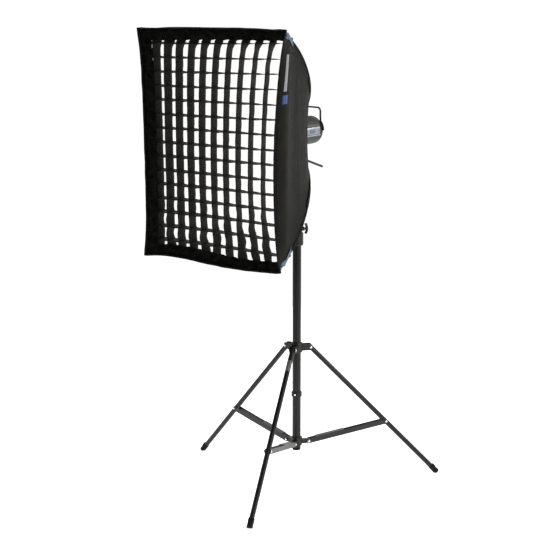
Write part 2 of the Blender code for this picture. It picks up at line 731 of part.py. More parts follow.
def loft(name, rows, mat, loop=False):
    """A closed skin over rows of points; each row is one closed cross section."""
    bm = bmesh.new()
    rings = [[bm.verts.new(p) for p in row] for row in rows]
    count = len(rows[0])
    for first, second in zip(rings, rings[1:]):
        for i in range(count):
            j = (i + 1) % count
            bm.faces.new((first[i], first[j], second[j], second[i]))
    bm.faces.new(rings[0])
    bm.faces.new(rings[-1])
    bmesh.ops.triangulate(bm, faces=[f for f in bm.faces if len(f.verts) > 4])
    return from_bmesh(name, bm, mat)


def build_panel(name, upright, side):
    """One of the four cloth panels; upright panels are the left and right ones."""
    spread = 6
    line = stations(8)
    rows = []
    for index, (half_x, half_z, depth) in enumerate(line):
        before = line[max(index - 1, 0)]
        after = line[min(index + 1, len(line) - 1)]
        own = 0 if upright else 1
        run = after[2] - before[2]
        fall = after[own] - before[own]
        size = math.hypot(run, fall)
        inward = (-run / size * CLOTH, fall / size * CLOTH)
        outer = []
        inner = []
        for step in range(spread + 1):
            share = 2 * step / spread - 1
            if upright:
                x, z = pinched(half_x, share * half_z, half_x, half_z)
                outer.append((side * x, depth, z))
                inner.append((side * (x + inward[0]), depth + inward[1], z))
            else:
                x, z = pinched(share * (half_x - 0.0035), half_z, half_x, half_z)
                outer.append((x, depth, side * z))
                inner.append((x, depth + inward[1], side * (z + inward[0])))
        row = outer + inner[::-1]
        rows.append([softbox_point(*p) for p in row])
    panel = loft_sheet(name, rows, spread + 1, BLACK_NYLON)
    shift_origin(panel, (0, 0, AXIS_Z))


def loft_sheet(name, rows, width, mat):
    """A lofted sheet whose rows run out along one face and back along the other."""
    bm = bmesh.new()
    rings = [[bm.verts.new(p) for p in row] for row in rows]
    count = 2 * width
    for first, second in zip(rings, rings[1:]):
        for i in range(count):
            j = (i + 1) % count
            bm.faces.new((first[i], first[j], second[j], second[i]))
    for ring in (rings[0], rings[-1]):
        for i in range(width - 1):
            bm.faces.new((ring[i], ring[i + 1], ring[count - 2 - i], ring[count - 1 - i]))
    return from_bmesh(name, bm, mat, smooth=True)


def build_rod(name, side_x, side_z):
    points = []
    for step in range(13):
        share = 0.035 + 0.965 * step / 12
        half_x, half_z, depth = shell_station(share)
        inset = ROD_INSET + ROD_POCKET * (1 - share) ** 4
        points.append(softbox_point(side_x * (half_x - inset), depth - 0.008,
                                    side_z * (half_z - inset)))
    last = points[-1].copy()
    last.x = side_x * 0.0615
    last.z = AXIS_Z + side_z * 0.0615
    points.append(last)
    rod = wire(name, points, ROD_R, SPRING_STEEL, 1)
    shift_origin(rod, (0, 0, AXIS_Z))


def build_corner_trim(name, side_x, side_z):
    """Webbing that binds the front corner and runs back along the seam."""
    leg = 0.014
    near = 0.0010
    far = 0.0024
    rows = []
    line = [(BOX_X, BOX_Z, 0.0)] + [shell_station(s) for s in (0.0, 0.025, 0.05, 0.075, 0.1)]
    for half_x, half_z, depth in line:
        section = [(half_x + near, half_z - leg), (half_x + far, half_z - leg),
                   (half_x + far, half_z + far), (half_x - leg, half_z + far),
                   (half_x - leg, half_z + near), (half_x + near, half_z + near)]
        rows.append([softbox_point(side_x * x, depth, side_z * z) for x, z in section])
    trim = loft(name, rows, BLUE_WEBBING)
    shift_origin(trim, (0, 0, AXIS_Z))


def cloth_sheet(name, half_x, half_z, near, far, mat):
    """A flat sheet across the softbox with the same pulled-in edges."""
    bm = bmesh.new()
    count = 6
    fronts = []
    backs = []
    for level, store in ((near, fronts), (far, backs)):
        for i in range(count + 1):
            row = []
            for j in range(count + 1):
                x = half_x * (2 * i / count - 1)
                z = half_z * (2 * j / count - 1)
                px, pz = pinched(x, z, half_x, half_z)
                row.append(bm.verts.new(softbox_point(px, level, pz)))
            store.append(row)
    for store in (fronts, backs):
        for i in range(count):
            for j in range(count):
                bm.faces.new((store[i][j], store[i + 1][j], store[i + 1][j + 1],
                              store[i][j + 1]))
    edge = [(i, 0) for i in range(count)] + [(count, j) for j in range(count)]
    edge += [(count - i, count) for i in range(count)]
    edge += [(0, count - j) for j in range(count)]
    for first, second in zip(edge, edge[1:] + edge[:1]):
        a = fronts[first[0]][first[1]]
        b = fronts[second[0]][second[1]]
        c = backs[second[0]][second[1]]
        d = backs[first[0]][first[1]]
        bm.faces.new((a, b, c, d))
    sheet = from_bmesh(name, bm, mat)
    shift_origin(sheet, (0, 0, AXIS_Z))


def strip_edges(half, cells):
    """Edges of the border, then of every strip, across one side of the grid."""
    edges = [-half, -half + BORDER]
    for i in range(1, cells):
        centre = -half + 2 * half * i / cells
        edges += [centre - STRIP / 2, centre + STRIP / 2]
    return edges + [half - BORDER, half]


def build_grid():
    """The egg-crate grid: crossed cloth strips in one bound frame."""
    half_x = BOX_X - 0.0040
    half_z = BOX_Z - 0.0040
    across = strip_edges(half_x, GRID_COLUMNS)
    along = strip_edges(half_z, GRID_ROWS)
    bm = bmesh.new()
    level = []
    for depth in (0.0012, GRID_DEPTH):
        rows = []
        for x in across:
            row = []
            for z in along:
                px, pz = pinched(x, z, half_x, half_z)
                row.append(bm.verts.new(softbox_point(px, depth, pz)))
            rows.append(row)
        level.append(rows)

    def wall(i0, j0, i1, j1):
        bm.faces.new((level[0][i0][j0], level[0][i1][j1], level[1][i1][j1],
                      level[1][i0][j0]))

    last_i = len(across) - 1
    last_j = len(along) - 1
    for i in range(last_i):
        for j in range(last_j):
            if i % 2 and j % 2:
                wall(i, j, i + 1, j)
                wall(i + 1, j, i + 1, j + 1)
                wall(i + 1, j + 1, i, j + 1)
                wall(i, j + 1, i, j)
                continue
            for rows in level:
                bm.faces.new((rows[i][j], rows[i + 1][j], rows[i + 1][j + 1],
                              rows[i][j + 1]))
    for i in range(last_i):
        wall(i, 0, i + 1, 0)
        wall(i, last_j, i + 1, last_j)
    for j in range(last_j):
        wall(0, j, 0, j + 1)
        wall(last_i, j, last_i, j + 1)
    grid = from_bmesh("egg_crate_grid", bm, GRID_CLOTH)
    shift_origin(grid, (0, 0, AXIS_Z))


def build_label():
    """A plain woven strip on the rim of the right-hand panel."""
    rows = []
    for step in range(5):
        z = 0.157 + 0.166 * step / 4
        x, height = pinched(BOX_X, z, BOX_X, BOX_Z)
        section = ((x + 0.0009, 0.006), (x + 0.0018, 0.006), (x + 0.0018, 0.029),
                   (x + 0.0009, 0.029))
        rows.append([softbox_point(a, depth, height) for a, depth in section])
    label = loft("side_label", rows, LABEL_CLOTH)
    shift_origin(label, (0, 0, AXIS_Z))


def build_speed_ring():
    ring = turned("speed_ring",
                  [(RING_OUT - 0.002, -RING_Y0), (RING_OUT, -RING_Y0 - 0.002),
                   (RING_OUT, -RING_Y1 + 0.002), (RING_OUT - 0.002, -RING_Y1),
                   (RING_IN, -RING_Y1), (RING_IN, -RING_Y0)],
                  (0, 0, AXIS_Z), (0, -1, 0), ALUMINIUM, 32, True)
    y = FRONT_Y + SHELL_DEPTH - 0.008
    holes = []
    for number, (side_x, side_z) in enumerate(((1, 1), (-1, 1), (-1, -1), (1, -1))):
        aim = Vector((side_x, 0, side_z)).normalized()
        spot = (0, y, AXIS_Z)
        boss = shaft(f"ring_socket_{number}", 0.0072, 0.0700, 0.1120, spot, aim, None, 10,
                     CUTTERS)
        holes.append(shaft(f"ring_bore_{number}", ROD_R + GAP, 0.0840, 0.1300, spot, aim,
                           None, 12, CUTTERS))
        fuse(ring, boss)
    cut(ring, *holes)


def build_softbox():
    build_speed_ring()
    for name, upright, side in (("panel_top", False, 1), ("panel_bottom", False, -1),
                                ("panel_right", True, 1), ("panel_left", True, -1)):
        build_panel(name, upright, side)
    corners = (("upper_right", 1, 1), ("upper_left", -1, 1), ("lower_left", -1, -1),
               ("lower_right", 1, -1))
    for place_name, side_x, side_z in corners:
        build_rod("rod_" + place_name, side_x, side_z)
        build_corner_trim("corner_trim_" + place_name, side_x, side_z)
    cloth_sheet("front_diffuser", BOX_X - 0.010, BOX_Z - 0.014, 0.0472, 0.0486,
                WHITE_NYLON)
    half_x, half_z, depth = shell_station(0.30)
    cloth_sheet("inner_baffle", half_x - 0.045, half_z - 0.055, depth, depth + 0.0015,
                WHITE_NYLON)
    build_grid()
    build_label()


# ---- assembly -----------------------------------------------------------
def build_stand():
    build_column()
    build_lower_hub()
    build_stop_ring()
    build_top_collar()
    build_leg_collar()
    for number, angle in enumerate(LEG_ANGLES, 1):
        build_leg(number, angle)
        build_stretcher(number, angle)
    build_middle_tube()
    build_top_tube()
    t_knob("clamp_knob_lower", KNOB_ANGLE, LOWER_KNOB_Z, 0.0293, 0.0430, BLACK_PLASTIC)
    t_knob("clamp_knob_upper", KNOB_ANGLE, UPPER_KNOB_Z, 0.0268, 0.0400, BLACK_PLASTIC)
    build_bracket()
    t_knob("bracket_knob", 180.0, SOCKET_BOTTOM + 0.020, 0.0253, 0.0390, BLACK_PLASTIC)
    build_tilt_lever()


def build_head():
    build_head_foot()
    build_housing()
    build_head_mount()
    build_rear_panel()
    build_controls()
    build_inlet()
    build_handle()
    build_side_trim("side_trim_right", 1)
    build_side_trim("side_trim_left", -1)
    build_lamps()
    build_electronics()


def centre_on_origin():
    move = Matrix.Translation((COLUMN_X, COLUMN_Y, 0.0))
    bpy.context.view_layer.update()
    for group in (PARTS, CUTTERS):
        for obj in group.objects:
            obj.matrix_world = move @ obj.matrix_world


build_stand()
build_head()
build_softbox()
centre_on_origin()
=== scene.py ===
"""Studio softbox with fabric grid on a flash head and light stand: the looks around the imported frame."""
import json
import math
import random

import bmesh
import bpy
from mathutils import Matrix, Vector, noise

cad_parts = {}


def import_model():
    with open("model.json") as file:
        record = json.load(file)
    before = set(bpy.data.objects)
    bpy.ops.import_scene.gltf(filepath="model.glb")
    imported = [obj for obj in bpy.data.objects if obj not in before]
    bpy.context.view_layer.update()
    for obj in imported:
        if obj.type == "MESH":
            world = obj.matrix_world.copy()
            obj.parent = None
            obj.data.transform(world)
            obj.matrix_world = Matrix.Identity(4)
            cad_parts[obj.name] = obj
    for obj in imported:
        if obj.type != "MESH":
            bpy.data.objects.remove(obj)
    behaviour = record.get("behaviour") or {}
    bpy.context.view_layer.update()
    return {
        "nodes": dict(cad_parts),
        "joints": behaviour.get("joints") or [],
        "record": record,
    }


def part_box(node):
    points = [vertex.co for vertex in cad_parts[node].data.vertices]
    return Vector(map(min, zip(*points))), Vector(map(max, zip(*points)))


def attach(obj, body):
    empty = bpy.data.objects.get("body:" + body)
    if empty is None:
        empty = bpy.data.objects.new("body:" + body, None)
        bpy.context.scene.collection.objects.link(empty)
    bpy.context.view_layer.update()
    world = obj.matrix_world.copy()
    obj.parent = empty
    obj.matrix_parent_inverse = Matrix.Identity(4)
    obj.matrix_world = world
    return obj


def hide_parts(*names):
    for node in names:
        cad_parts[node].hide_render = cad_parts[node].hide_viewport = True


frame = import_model()
chance = random.Random(41)


# ---- places read from the frame ------------------------------------------
def middle(node):
    low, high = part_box(node)
    return (low + high) / 2


COLUMN_X, COLUMN_Y = middle("base_tube").xy
AXIS_Z = middle("speed_ring").z
FACE_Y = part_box("panel_right")[0].y
PANEL_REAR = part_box("rear_panel")[1].y

# ---- shape of the softbox, in metres ----------------------------------------
BOX_X = 0.300          # half the face's width
BOX_Z = 0.414          # half its height
RIM = 0.047            # the straight part behind the face
DEPTH = 0.500
RING = 0.096           # half the square back
BOW = 0.66             # how much the rods bow outward
PINCH = 0.052          # how far the sides pull in between the rods
RIM_Q = 0.075
FADE = 0.085
HEAD_R = 0.055
CLOTH = 0.0008
SEAM_ALLOWANCE = 0.03
PANEL_RUN = 0.66       # cut length of a panel from rim to ring
TAPE_FROM = 0.0015
TAPE_TO = 0.0445
TAPE_LIFT = 0.0006
WEBBING_LONG = 0.112
DIFFUSER_DEPTH = 0.0475
DIFFUSER_INSET = 0.0035
# how far each face corner is off its place, by its signs in x and z
CORNERS = {(-1, 1): (-0.008, -0.0040), (1, 1): (0.0205, 0.0015),
    (-1, -1): (0.010, -0.007), (1, -1): (-0.003, -0.016)}
BOW_RIGHT = 0.0235     # how far the face's right edge bows in
BOW_LEFT = 0.0125
RIM_FADE = 0.024
POCKET = 0.0140        # how deep a corner behind the face is tucked in
COLUMNS = 11
ROW_FIRST = 0.0550
ROW_PITCH = 0.0513
ROWS = 15
HEM_TOP = 0.041
HEM_BOTTOM_LEFT = 0.043
HEM_BOTTOM_RIGHT = 0.037
HEM_LEFT = 0.049
HEM_RIGHT = 0.0022
HEM_TURNED = 0.011
STRIP_FRONT = 0.0030
STRIP_REAR = 0.0455
RIBBON = 0.0015        # thickness of the grid's ribbons
EDGE_GAP = 0.0030      # from the shell to the end of a crossing ribbon


# ---- materials -------------------------------------------------------------
class Look:
    """One Principled material whose nodes are added step by step."""

    def __init__(self, name, colour, rough, metal=0.0, **fixed):
        self.mat = bpy.data.materials.new(name)
        self.mat.use_nodes = True
        self.tree = self.mat.node_tree
        self.shader = self.tree.nodes["Principled BSDF"]
        self.shader.inputs["Base Color"].default_value = (*colour, 1.0)
        self.shader.inputs["Roughness"].default_value = rough
        self.shader.inputs["Metallic"].default_value = metal
        for key, value in fixed.items():
            self.shader.inputs[key.replace("_", " ")].default_value = value
        self.source = self.tree.nodes.new("ShaderNodeTexCoord")
        self.normal = None

    def link(self, socket, target):
        if isinstance(socket, bpy.types.NodeSocket):
            self.tree.links.new(socket, target)
        else:
            target.default_value = socket

    def coords(self, kind="Object", scale=(1, 1, 1)):
        node = self.tree.nodes.new("ShaderNodeMapping")
        node.inputs["Scale"].default_value = scale
        self.tree.links.new(self.source.outputs[kind], node.inputs["Vector"])
        return node.outputs["Vector"]

    def noise(self, vector, scale, detail=3.0, rough=0.55):
        node = self.tree.nodes.new("ShaderNodeTexNoise")
        node.inputs["Scale"].default_value = scale
        node.inputs["Detail"].default_value = detail
        node.inputs["Roughness"].default_value = rough
        self.tree.links.new(vector, node.inputs["Vector"])
        return node.outputs["Fac"]

    def cells(self, vector, scale):
        node = self.tree.nodes.new("ShaderNodeTexVoronoi")
        node.inputs["Scale"].default_value = scale
        self.tree.links.new(vector, node.inputs["Vector"])
        return node.outputs["Distance"]

    def math(self, operation, first, second=0.0):
        node = self.tree.nodes.new("ShaderNodeMath")
        node.operation = operation
        self.link(first, node.inputs[0])
        self.link(second, node.inputs[1])
        return node.outputs[0]

    def spread(self, value, low, high, out_low, out_high):
        node = self.tree.nodes.new("ShaderNodeMapRange")
        for index, number in enumerate((low, high, out_low, out_high), 1):
            node.inputs[index].default_value = number
        self.link(value, node.inputs[0])
        return node.outputs[0]

    def mix(self, share, first, second):
        node = self.tree.nodes.new("ShaderNodeMix")
        node.data_type = "RGBA"
        self.link(share, node.inputs[0])
        for value, socket in ((first, node.inputs[6]), (second, node.inputs[7])):
            self.link(value if isinstance(value, bpy.types.NodeSocket) else (*value, 1.0),
                socket)
        return node.outputs[2]

    def split(self, vector):
        node = self.tree.nodes.new("ShaderNodeSeparateXYZ")
        self.tree.links.new(vector, node.inputs[0])
        return node.outputs

    def ribs(self, coordinate, period):
        return self.math("SINE", self.math("MULTIPLY", coordinate, 2 * math.pi / period))

    def bump(self, height, strength, distance):
        node = self.tree.nodes.new("ShaderNodeBump")
        node.inputs["Strength"].default_value = strength
        node.inputs["Distance"].default_value = distance
        self.tree.links.new(height, node.inputs["Height"])
        if self.normal is not None:
            self.tree.links.new(self.normal, node.inputs["Normal"])
        self.normal = node.outputs["Normal"]
        self.tree.links.new(self.normal, self.shader.inputs["Normal"])

    def colour(self, socket):
        self.tree.links.new(socket, self.shader.inputs["Base Color"])

    def rough(self, socket):
        self.tree.links.new(socket, self.shader.inputs["Roughness"])


def woven(name, dark, light, pitch, rough=0.8, sheen=0.15, depth=0.0003, fuzz=0.0,
        source="UV", specular=0.2, twill=False, mottle=9.0, span=(0.25, 0.95)):
    """Cloth: crossed threads, slow tone changes, faint dust and creases."""
    look = Look(name, light, rough, Sheen_Weight=sheen, Sheen_Roughness=0.45,
        Specular_IOR_Level=specular)
    place = look.coords(source)
    u, v, _ = look.split(place)
    if twill:
        threads = look.math("MULTIPLY", look.ribs(look.math("ADD", u, v), pitch * 2),
            look.ribs(u, pitch))
    else:
        threads = look.math("MULTIPLY", look.ribs(u, pitch * 2), look.ribs(v, pitch * 2))
    slow = look.noise(place, mottle, 4.0, 0.6)
    fine = look.noise(place, 420.0 if fuzz else 160.0, 2.0, 0.7)
    tone = look.math("ADD", look.math("MULTIPLY", threads, 0.16),
        look.math("ADD", look.math("MULTIPLY", slow, 0.75),
        look.math("MULTIPLY", fine, 0.35)))
    look.colour(look.mix(look.spread(tone, span[0], span[1], 0.0, 1.0), dark, light))
    look.rough(look.spread(fine, 0.3, 0.7, rough - 0.08, min(rough + 0.1, 1.0)))
    look.bump(look.noise(place, 14.0, 3.0, 0.5), 0.35, 0.004)
    if fuzz:
        look.bump(fine, 0.8, fuzz)
    look.bump(threads, 0.55, depth)
    return look.mat


def coated(name, dark, light, rough, metal, grain, depth, specular=0.5, streak=None,
        scuffs=None):
    """Paint, powder coat or moulded plastic: grain, uneven gloss, small scuffs."""
    look = Look(name, light, rough, metal, Specular_IOR_Level=specular)
    place = look.coords()
    slow = look.noise(place, 7.0, 3.0, 0.6)
    drawn = look.coords(scale=streak) if streak else place
    fine = look.noise(drawn, 260.0, 3.0, 0.6)
    tone = look.mix(look.spread(slow, 0.35, 0.68, 0.0, 1.0), dark, light)
    if scuffs:
        marks = look.noise(look.coords(scale=(60, 60, 22)), 1.0, 6.0, 0.75)
        edge = look.spread(marks, 0.66, 0.72, 0.0, 0.55)
        tone = look.mix(edge, tone, scuffs)
    look.colour(tone)
    gloss = look.math("ADD", look.math("MULTIPLY", slow, 0.16),
        look.math("MULTIPLY", fine, 0.14))
    look.rough(look.math("ADD", gloss, rough - 0.15))
    look.bump(look.noise(drawn, grain, 2.0, 0.6), 0.45, depth)
    return look.mat


def metal(name, dark, light, rough, streak, grain=500.0, depth=0.00006):
    """Bare metal with drawn or turned marks and a little tarnish."""
    look = Look(name, light, rough, 1.0)
    drawn = look.coords(scale=streak)
    marks = look.noise(drawn, grain, 3.0, 0.6)
    stain = look.noise(look.coords(), 24.0, 4.0, 0.6)
    look.colour(look.mix(look.spread(stain, 0.4, 0.7, 0.0, 1.0), light, dark))
    look.rough(look.math("ADD", look.math("MULTIPLY", marks, 0.22),
        look.math("MULTIPLY", stain, rough)))
    look.bump(marks, 0.5, depth)
    return look.mat


NYLON = woven("outer_nylon", (0.0030, 0.0029, 0.0021), (0.0066, 0.0063, 0.0050), 0.0011,
    0.42, 0.0, 0.00022, specular=0.012)
HOOK_TAPE = woven("hook_tape", (0.006, 0.006, 0.0045), (0.022, 0.021, 0.017), 0.0024,
    0.95, 0.03, 0.0004, 0.0012, specular=0.05)
GRID_CLOTH = woven("grid_ribbon", (0.0050, 0.0048, 0.0036), (0.0330, 0.0320, 0.0260),
    0.0016, 0.65, 0.06, 0.0003, specular=0.15)
# The near-black is the hem cloth's own colour; its pale mottled patches are painted highlights where
# puckers catch light, placed at random.
HEM_CLOTH = woven("grid_hem_cloth", (0.0003, 0.0003, 0.0002), (0.0130, 0.0127, 0.0108),
    0.0016, 0.7, 0.0, 0.0004, 0.0008, specular=0.02, mottle=42.0,
    span=(0.44, 0.78))
BLUE_WEB = woven("blue_webbing", (0.035, 0.065, 0.105), (0.075, 0.130, 0.195), 0.0018, 0.7,
    0.15, 0.0005, specular=0.25, twill=True)
BLACK_WEB = woven("black_webbing", (0.004, 0.004, 0.004), (0.014, 0.0135, 0.012), 0.0020,
    0.85, 0.04, 0.0005, specular=0.08, twill=True)
THREAD = woven("sewing_thread", (0.020, 0.020, 0.020), (0.060, 0.060, 0.058), 0.0006, 0.6,
    0.1, 0.0001, source="Object")
BLUE_THREAD = woven("blue_thread", (0.10, 0.17, 0.26), (0.20, 0.30, 0.42), 0.0006, 0.6,
    0.1, 0.0001, source="Object")
LABEL = woven("label_ribbon", (0.16, 0.16, 0.17), (0.34, 0.34, 0.36), 0.0010, 0.75, 0.1,
    0.0002, twill=True)
LABEL_BLUE = woven("label_patch_blue", (0.020, 0.045, 0.13), (0.045, 0.090, 0.24), 0.0010,
    0.75, 0.1, 0.0002, twill=True)
BAFFLE = woven("baffle_cloth", (0.70, 0.70, 0.69), (0.86, 0.86, 0.85), 0.0012, 0.9, 0.1,
    0.0002)


def diffuser_look():
    # The emission is a painted glow: the white sheet shines by itself though no lamp lights it from
    # behind.
    look = Look("diffuser_cloth_painted_glow", (0.9, 0.9, 0.89), 0.9, Sheen_Weight=0.1,
        Specular_IOR_Level=0.1, Emission_Color=(1.0, 0.995, 0.98, 1.0),
        Emission_Strength=0.95)
    place = look.coords("UV")
    u, v, _ = look.split(place)
    threads = look.math("MULTIPLY", look.ribs(u, 0.0016), look.ribs(v, 0.0016))
    slow = look.noise(place, 6.0, 3.0, 0.5)
    look.colour(look.mix(look.spread(slow, 0.3, 0.7, 0.0, 1.0), (0.84, 0.84, 0.82),
        (0.93, 0.93, 0.92)))
    look.bump(slow, 0.3, 0.006)
    look.bump(threads, 0.4, 0.0002)
    return look.mat


def lining_look():
    look = Look("silver_lining", (0.62, 0.62, 0.62), 0.34, 0.85)
    place = look.coords("UV")
    crease_and_painted_shade = look.cells(place, 38.0)
    # The colour is darker in the hollows of the creases: painted shade that follows the crease bump.
    look.colour(look.mix(look.spread(crease_and_painted_shade, 0.0, 0.6, 0.0, 1.0), (0.50, 0.50, 0.50),
        (0.72, 0.72, 0.71)))
    look.rough(look.spread(look.noise(place, 30.0), 0.3, 0.7, 0.25, 0.5))
    look.bump(crease_and_painted_shade, 0.5, 0.003)
    return look.mat


DIFFUSER = diffuser_look()
LINING = lining_look()
TUBE = coated("tube_black", (0.0012, 0.0012, 0.0008), (0.0034, 0.0034, 0.0024), 0.30, 0.0,
    900.0, 0.00008, 0.30, (1.0, 1.0, 0.04), (0.030, 0.030, 0.026))
STEEL_PAINT = coated("hub_paint", (0.006, 0.006, 0.005), (0.012, 0.012, 0.010), 0.42, 0.0,
    700.0, 0.00012, 0.35, None, (0.07, 0.07, 0.065))
PLASTIC = coated("moulded_plastic", (0.004, 0.004, 0.004), (0.009, 0.009, 0.008), 0.5, 0.0,
    1400.0, 0.00012, 0.3)
RUBBER = coated("foot_rubber", (0.007, 0.007, 0.006), (0.014, 0.014, 0.012), 0.85, 0.0,
    600.0, 0.0002, 0.15, None, (0.04, 0.038, 0.034))
HEAD_PAINT = coated("head_powder_coat", (0.010, 0.010, 0.009), (0.022, 0.022, 0.019), 0.55,
    0.0, 1100.0, 0.0003, 0.35)
STRETCHER = coated("stretcher_grey", (0.010, 0.010, 0.009), (0.020, 0.020, 0.018), 0.38,
    0.1, 800.0, 0.00008, 0.4, None, (0.10, 0.10, 0.095))
NICKEL = metal("nickel_rivet", (0.62, 0.61, 0.58), (0.86, 0.86, 0.84), 0.20, (1, 1, 1))
ALUMINIUM = metal("turned_aluminium", (0.42, 0.42, 0.43), (0.62, 0.62, 0.63), 0.35,
    (0.2, 8.0, 0.2))
SPRING = metal("spring_steel", (0.20, 0.20, 0.21), (0.34, 0.34, 0.35), 0.30, (1, 1, 1))
SILVER = metal("silver_band", (0.20, 0.21, 0.22), (0.40, 0.42, 0.44), 0.30,
    (6.0, 0.1, 6.0))
BADGE = coated("badge_blue_grey", (0.085, 0.11, 0.145), (0.13, 0.165, 0.21), 0.45, 0.1,
    1200.0, 0.00006)
BADGE_LINE = coated("pale_line", (0.55, 0.58, 0.60), (0.72, 0.75, 0.77), 0.4, 0.1, 1200.0,
    0.00004)
FROST = coated("frosted_glass", (0.74, 0.75, 0.75), (0.86, 0.87, 0.87), 0.35, 0.0, 1600.0,
    0.00008)
LAMP = coated("lamp_glass", (0.66, 0.62, 0.50), (0.84, 0.82, 0.74), 0.2, 0.0, 900.0,
    0.00002)
BOARD = coated("board_green", (0.012, 0.07, 0.03), (0.022, 0.13, 0.055), 0.5, 0.0, 500.0,
    0.0002)
CAN = coated("capacitor_sleeve", (0.030, 0.050, 0.14), (0.050, 0.085, 0.21), 0.35, 0.1,
    700.0, 0.00004)
DIAL = coated("dial_grey", (0.16, 0.16, 0.16), (0.25, 0.25, 0.25), 0.45, 0.0, 1400.0,
    0.0001)
RED = coated("button_red", (0.32, 0.030, 0.022), (0.50, 0.050, 0.035), 0.35, 0.0, 1400.0,
    0.00005)
STICKER = coated("plain_sticker", (0.07, 0.07, 0.065), (0.15, 0.15, 0.14), 0.45, 0.0,
    900.0, 0.00004)
# Near-black material for the flat faces that paint the shade inside the head's cooling slots.
PAINTED_SLOT_SHADE = coated("painted_slot_shade", (0.002, 0.002, 0.002), (0.006, 0.006, 0.006), 0.9, 0.0, 900.0,
    0.0001, 0.1)
LED = coated("indicator_lens", (0.05, 0.25, 0.06), (0.10, 0.45, 0.12), 0.2, 0.0, 900.0,
    0.00003)

SLOT_LOOKS = {
    "satin_black_tube": TUBE, "rubber": RUBBER, "painted_steel": STEEL_PAINT,
    "black_plastic": PLASTIC, "bright_steel": NICKEL, "aluminium": ALUMINIUM,
    "spring_steel": SPRING, "black_nylon": NYLON, "blue_webbing": BLUE_WEB,
    "head_paint": HEAD_PAINT, "silver_trim": SILVER, "lamp_glass": LAMP,
    "frosted_glass": FROST, "circuit_board": BOARD, "capacitor_can": CAN,
    "dial_grey": DIAL, "switch_red": RED, "white_nylon": BAFFLE,
    "grid_cloth": GRID_CLOTH, "label_cloth": LABEL}


def dress_frame():
    """Gives every node of the frame its material and smooth round faces."""
    slots = {s["node"]: s["material_slot"] for s in frame["record"]["subparts"]}
    for name, node in frame["nodes"].items():
        look = SLOT_LOOKS[slots[name]]
        if name.startswith("stretcher"):
            look = STRETCHER
        node.data.materials.clear()
        node.data.materials.append(look)
        if node.data.attributes.get("custom_normal"):
            node.data.attributes.remove(node.data.attributes["custom_normal"])
        for face in node.data.polygons:
            face.use_smooth = True
        weld = node.modifiers.new("weld", "WELD")
        weld.merge_threshold = 0.00002
        split = node.modifiers.new("split", "EDGE_SPLIT")
        split.split_angle = math.radians(32)


# ---- mesh helpers ----------------------------------------------------------
def piece(obj, body, replaces=()):
    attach(obj, body)
    if replaces:
        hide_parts(*replaces)
    return obj


def new_mesh(name, verts, faces, mats, uv=None, smooth=True):
    mesh = bpy.data.meshes.new(name)
    mesh.from_pydata([tuple(v) for v in verts], [], faces)
    for mat in mats if isinstance(mats, (list, tuple)) else [mats]:
        mesh.materials.append(mat)
    if uv is not None:
        layer = mesh.uv_layers.new(name="cloth")
        for loop in mesh.loops:
            layer.data[loop.index].uv = uv[loop.vertex_index]
    for face in mesh.polygons:
        face.use_smooth = smooth
    mesh.update()
    obj = bpy.data.objects.new(name, mesh)
    bpy.context.scene.collection.objects.link(obj)
    return obj


def lattice(name, rows, mats, thick=0.0, offset=0.0, closed=False, lining=False, even=True):
    """A sheet over rows of points, with UV in metres along the cloth."""
    high, wide = len(rows), len(rows[0])
    verts = [p for row in rows for p in row]
    uv = []
    across = [0.0]
    centre = rows[high // 2]
    for a, b in zip(centre, centre[1:]):
        across.append(across[-1] + (b - a).length)
    along = 0.0
    for i, row in enumerate(rows):
        if i:
            along += (row[wide // 2] - rows[i - 1][wide // 2]).length
        uv += [(across[j], along) for j in range(wide)]
    faces = []
    for i in range(high - 1):
        for j in range(wide if closed else wide - 1):
            k = (j + 1) % wide
            faces.append((i * wide + j, i * wide + k, (i + 1) * wide + k,
                (i + 1) * wide + j))
    obj = new_mesh(name, verts, faces, mats, uv)
    if thick:
        solid = obj.modifiers.new("thickness", "SOLIDIFY")
        solid.thickness = thick
        solid.offset = offset
        solid.use_even_offset = even
        if lining:
            solid.material_offset = 1
    return obj


def outward(rows):
    """Turns rows of points round if their faces look toward the box's axis."""
    i, j = len(rows) // 2, len(rows[0]) // 2
    a, b, c = rows[i][j], rows[i][j - 1], rows[i - 1][j]
    away = Vector((a.x - COLUMN_X, 0, a.z - AXIS_Z))
    turned_in = (a - b).cross(a - c).dot(away) < 0
    return [list(reversed(row)) for row in rows] if turned_in else rows


def area_of(obj):
    return sum(face.area for face in obj.data.polygons)


def cloth(name, rows, mats, flat, held, rests, slot="black_nylon", replaces=(), **shape):
    """A sheet of cloth on the softbox; flat is its cut size, or a rule from its area."""
    obj = lattice(name, rows, mats, **shape)
    piece(obj, "softbox", replaces)
    area = area_of(obj)
    width, length = flat(area) if callable(flat) else flat
    return obj


def sweep(name, path, section, mat, normals=None, closed_path=False):
    """Sweeps a closed section (right, up) along a path; up follows the normals."""
    verts, faces = [], []
    count, wide = len(path), 0
    for i, point in enumerate(path):
        before = path[i - 1] if (i or closed_path) else path[0]
        after = path[(i + 1) % count] if (i + 1 < count or closed_path) else path[-1]
        ahead = (after - before).normalized()
        up = normals[i] if normals else Vector((0, 0, 1))
        right = ahead.cross(up).normalized()
        up = right.cross(ahead).normalized()
        here = section(i / (count - 1)) if callable(section) else section
        wide = len(here)
        verts += [point + right * a + up * b for a, b in here]
    last = count if closed_path else count - 1
    for i in range(last):
        k = (i + 1) % count
        for j in range(wide):
            m = (j + 1) % wide
            faces.append((i * wide + j, k * wide + j, k * wide + m, i * wide + m))
    if not closed_path:
        faces.append(tuple(range(wide)))
        faces.append(tuple(reversed(range((count - 1) * wide, count * wide))))
    return new_mesh(name, verts, faces, mat)


def swept_tape(name, path, section, mat, outs, closed_path=True):
    """A tape, cord or piping along a path on the softbox."""
    obj = sweep(name, path, section, mat, outs, closed_path)
    clean(obj)
    return piece(obj, "softbox")


def ring_section(rx, ry, count=8):
    return [(rx * math.cos(2 * math.pi * k / count), ry * math.sin(2 * math.pi * k / count))
        for k in range(count)]


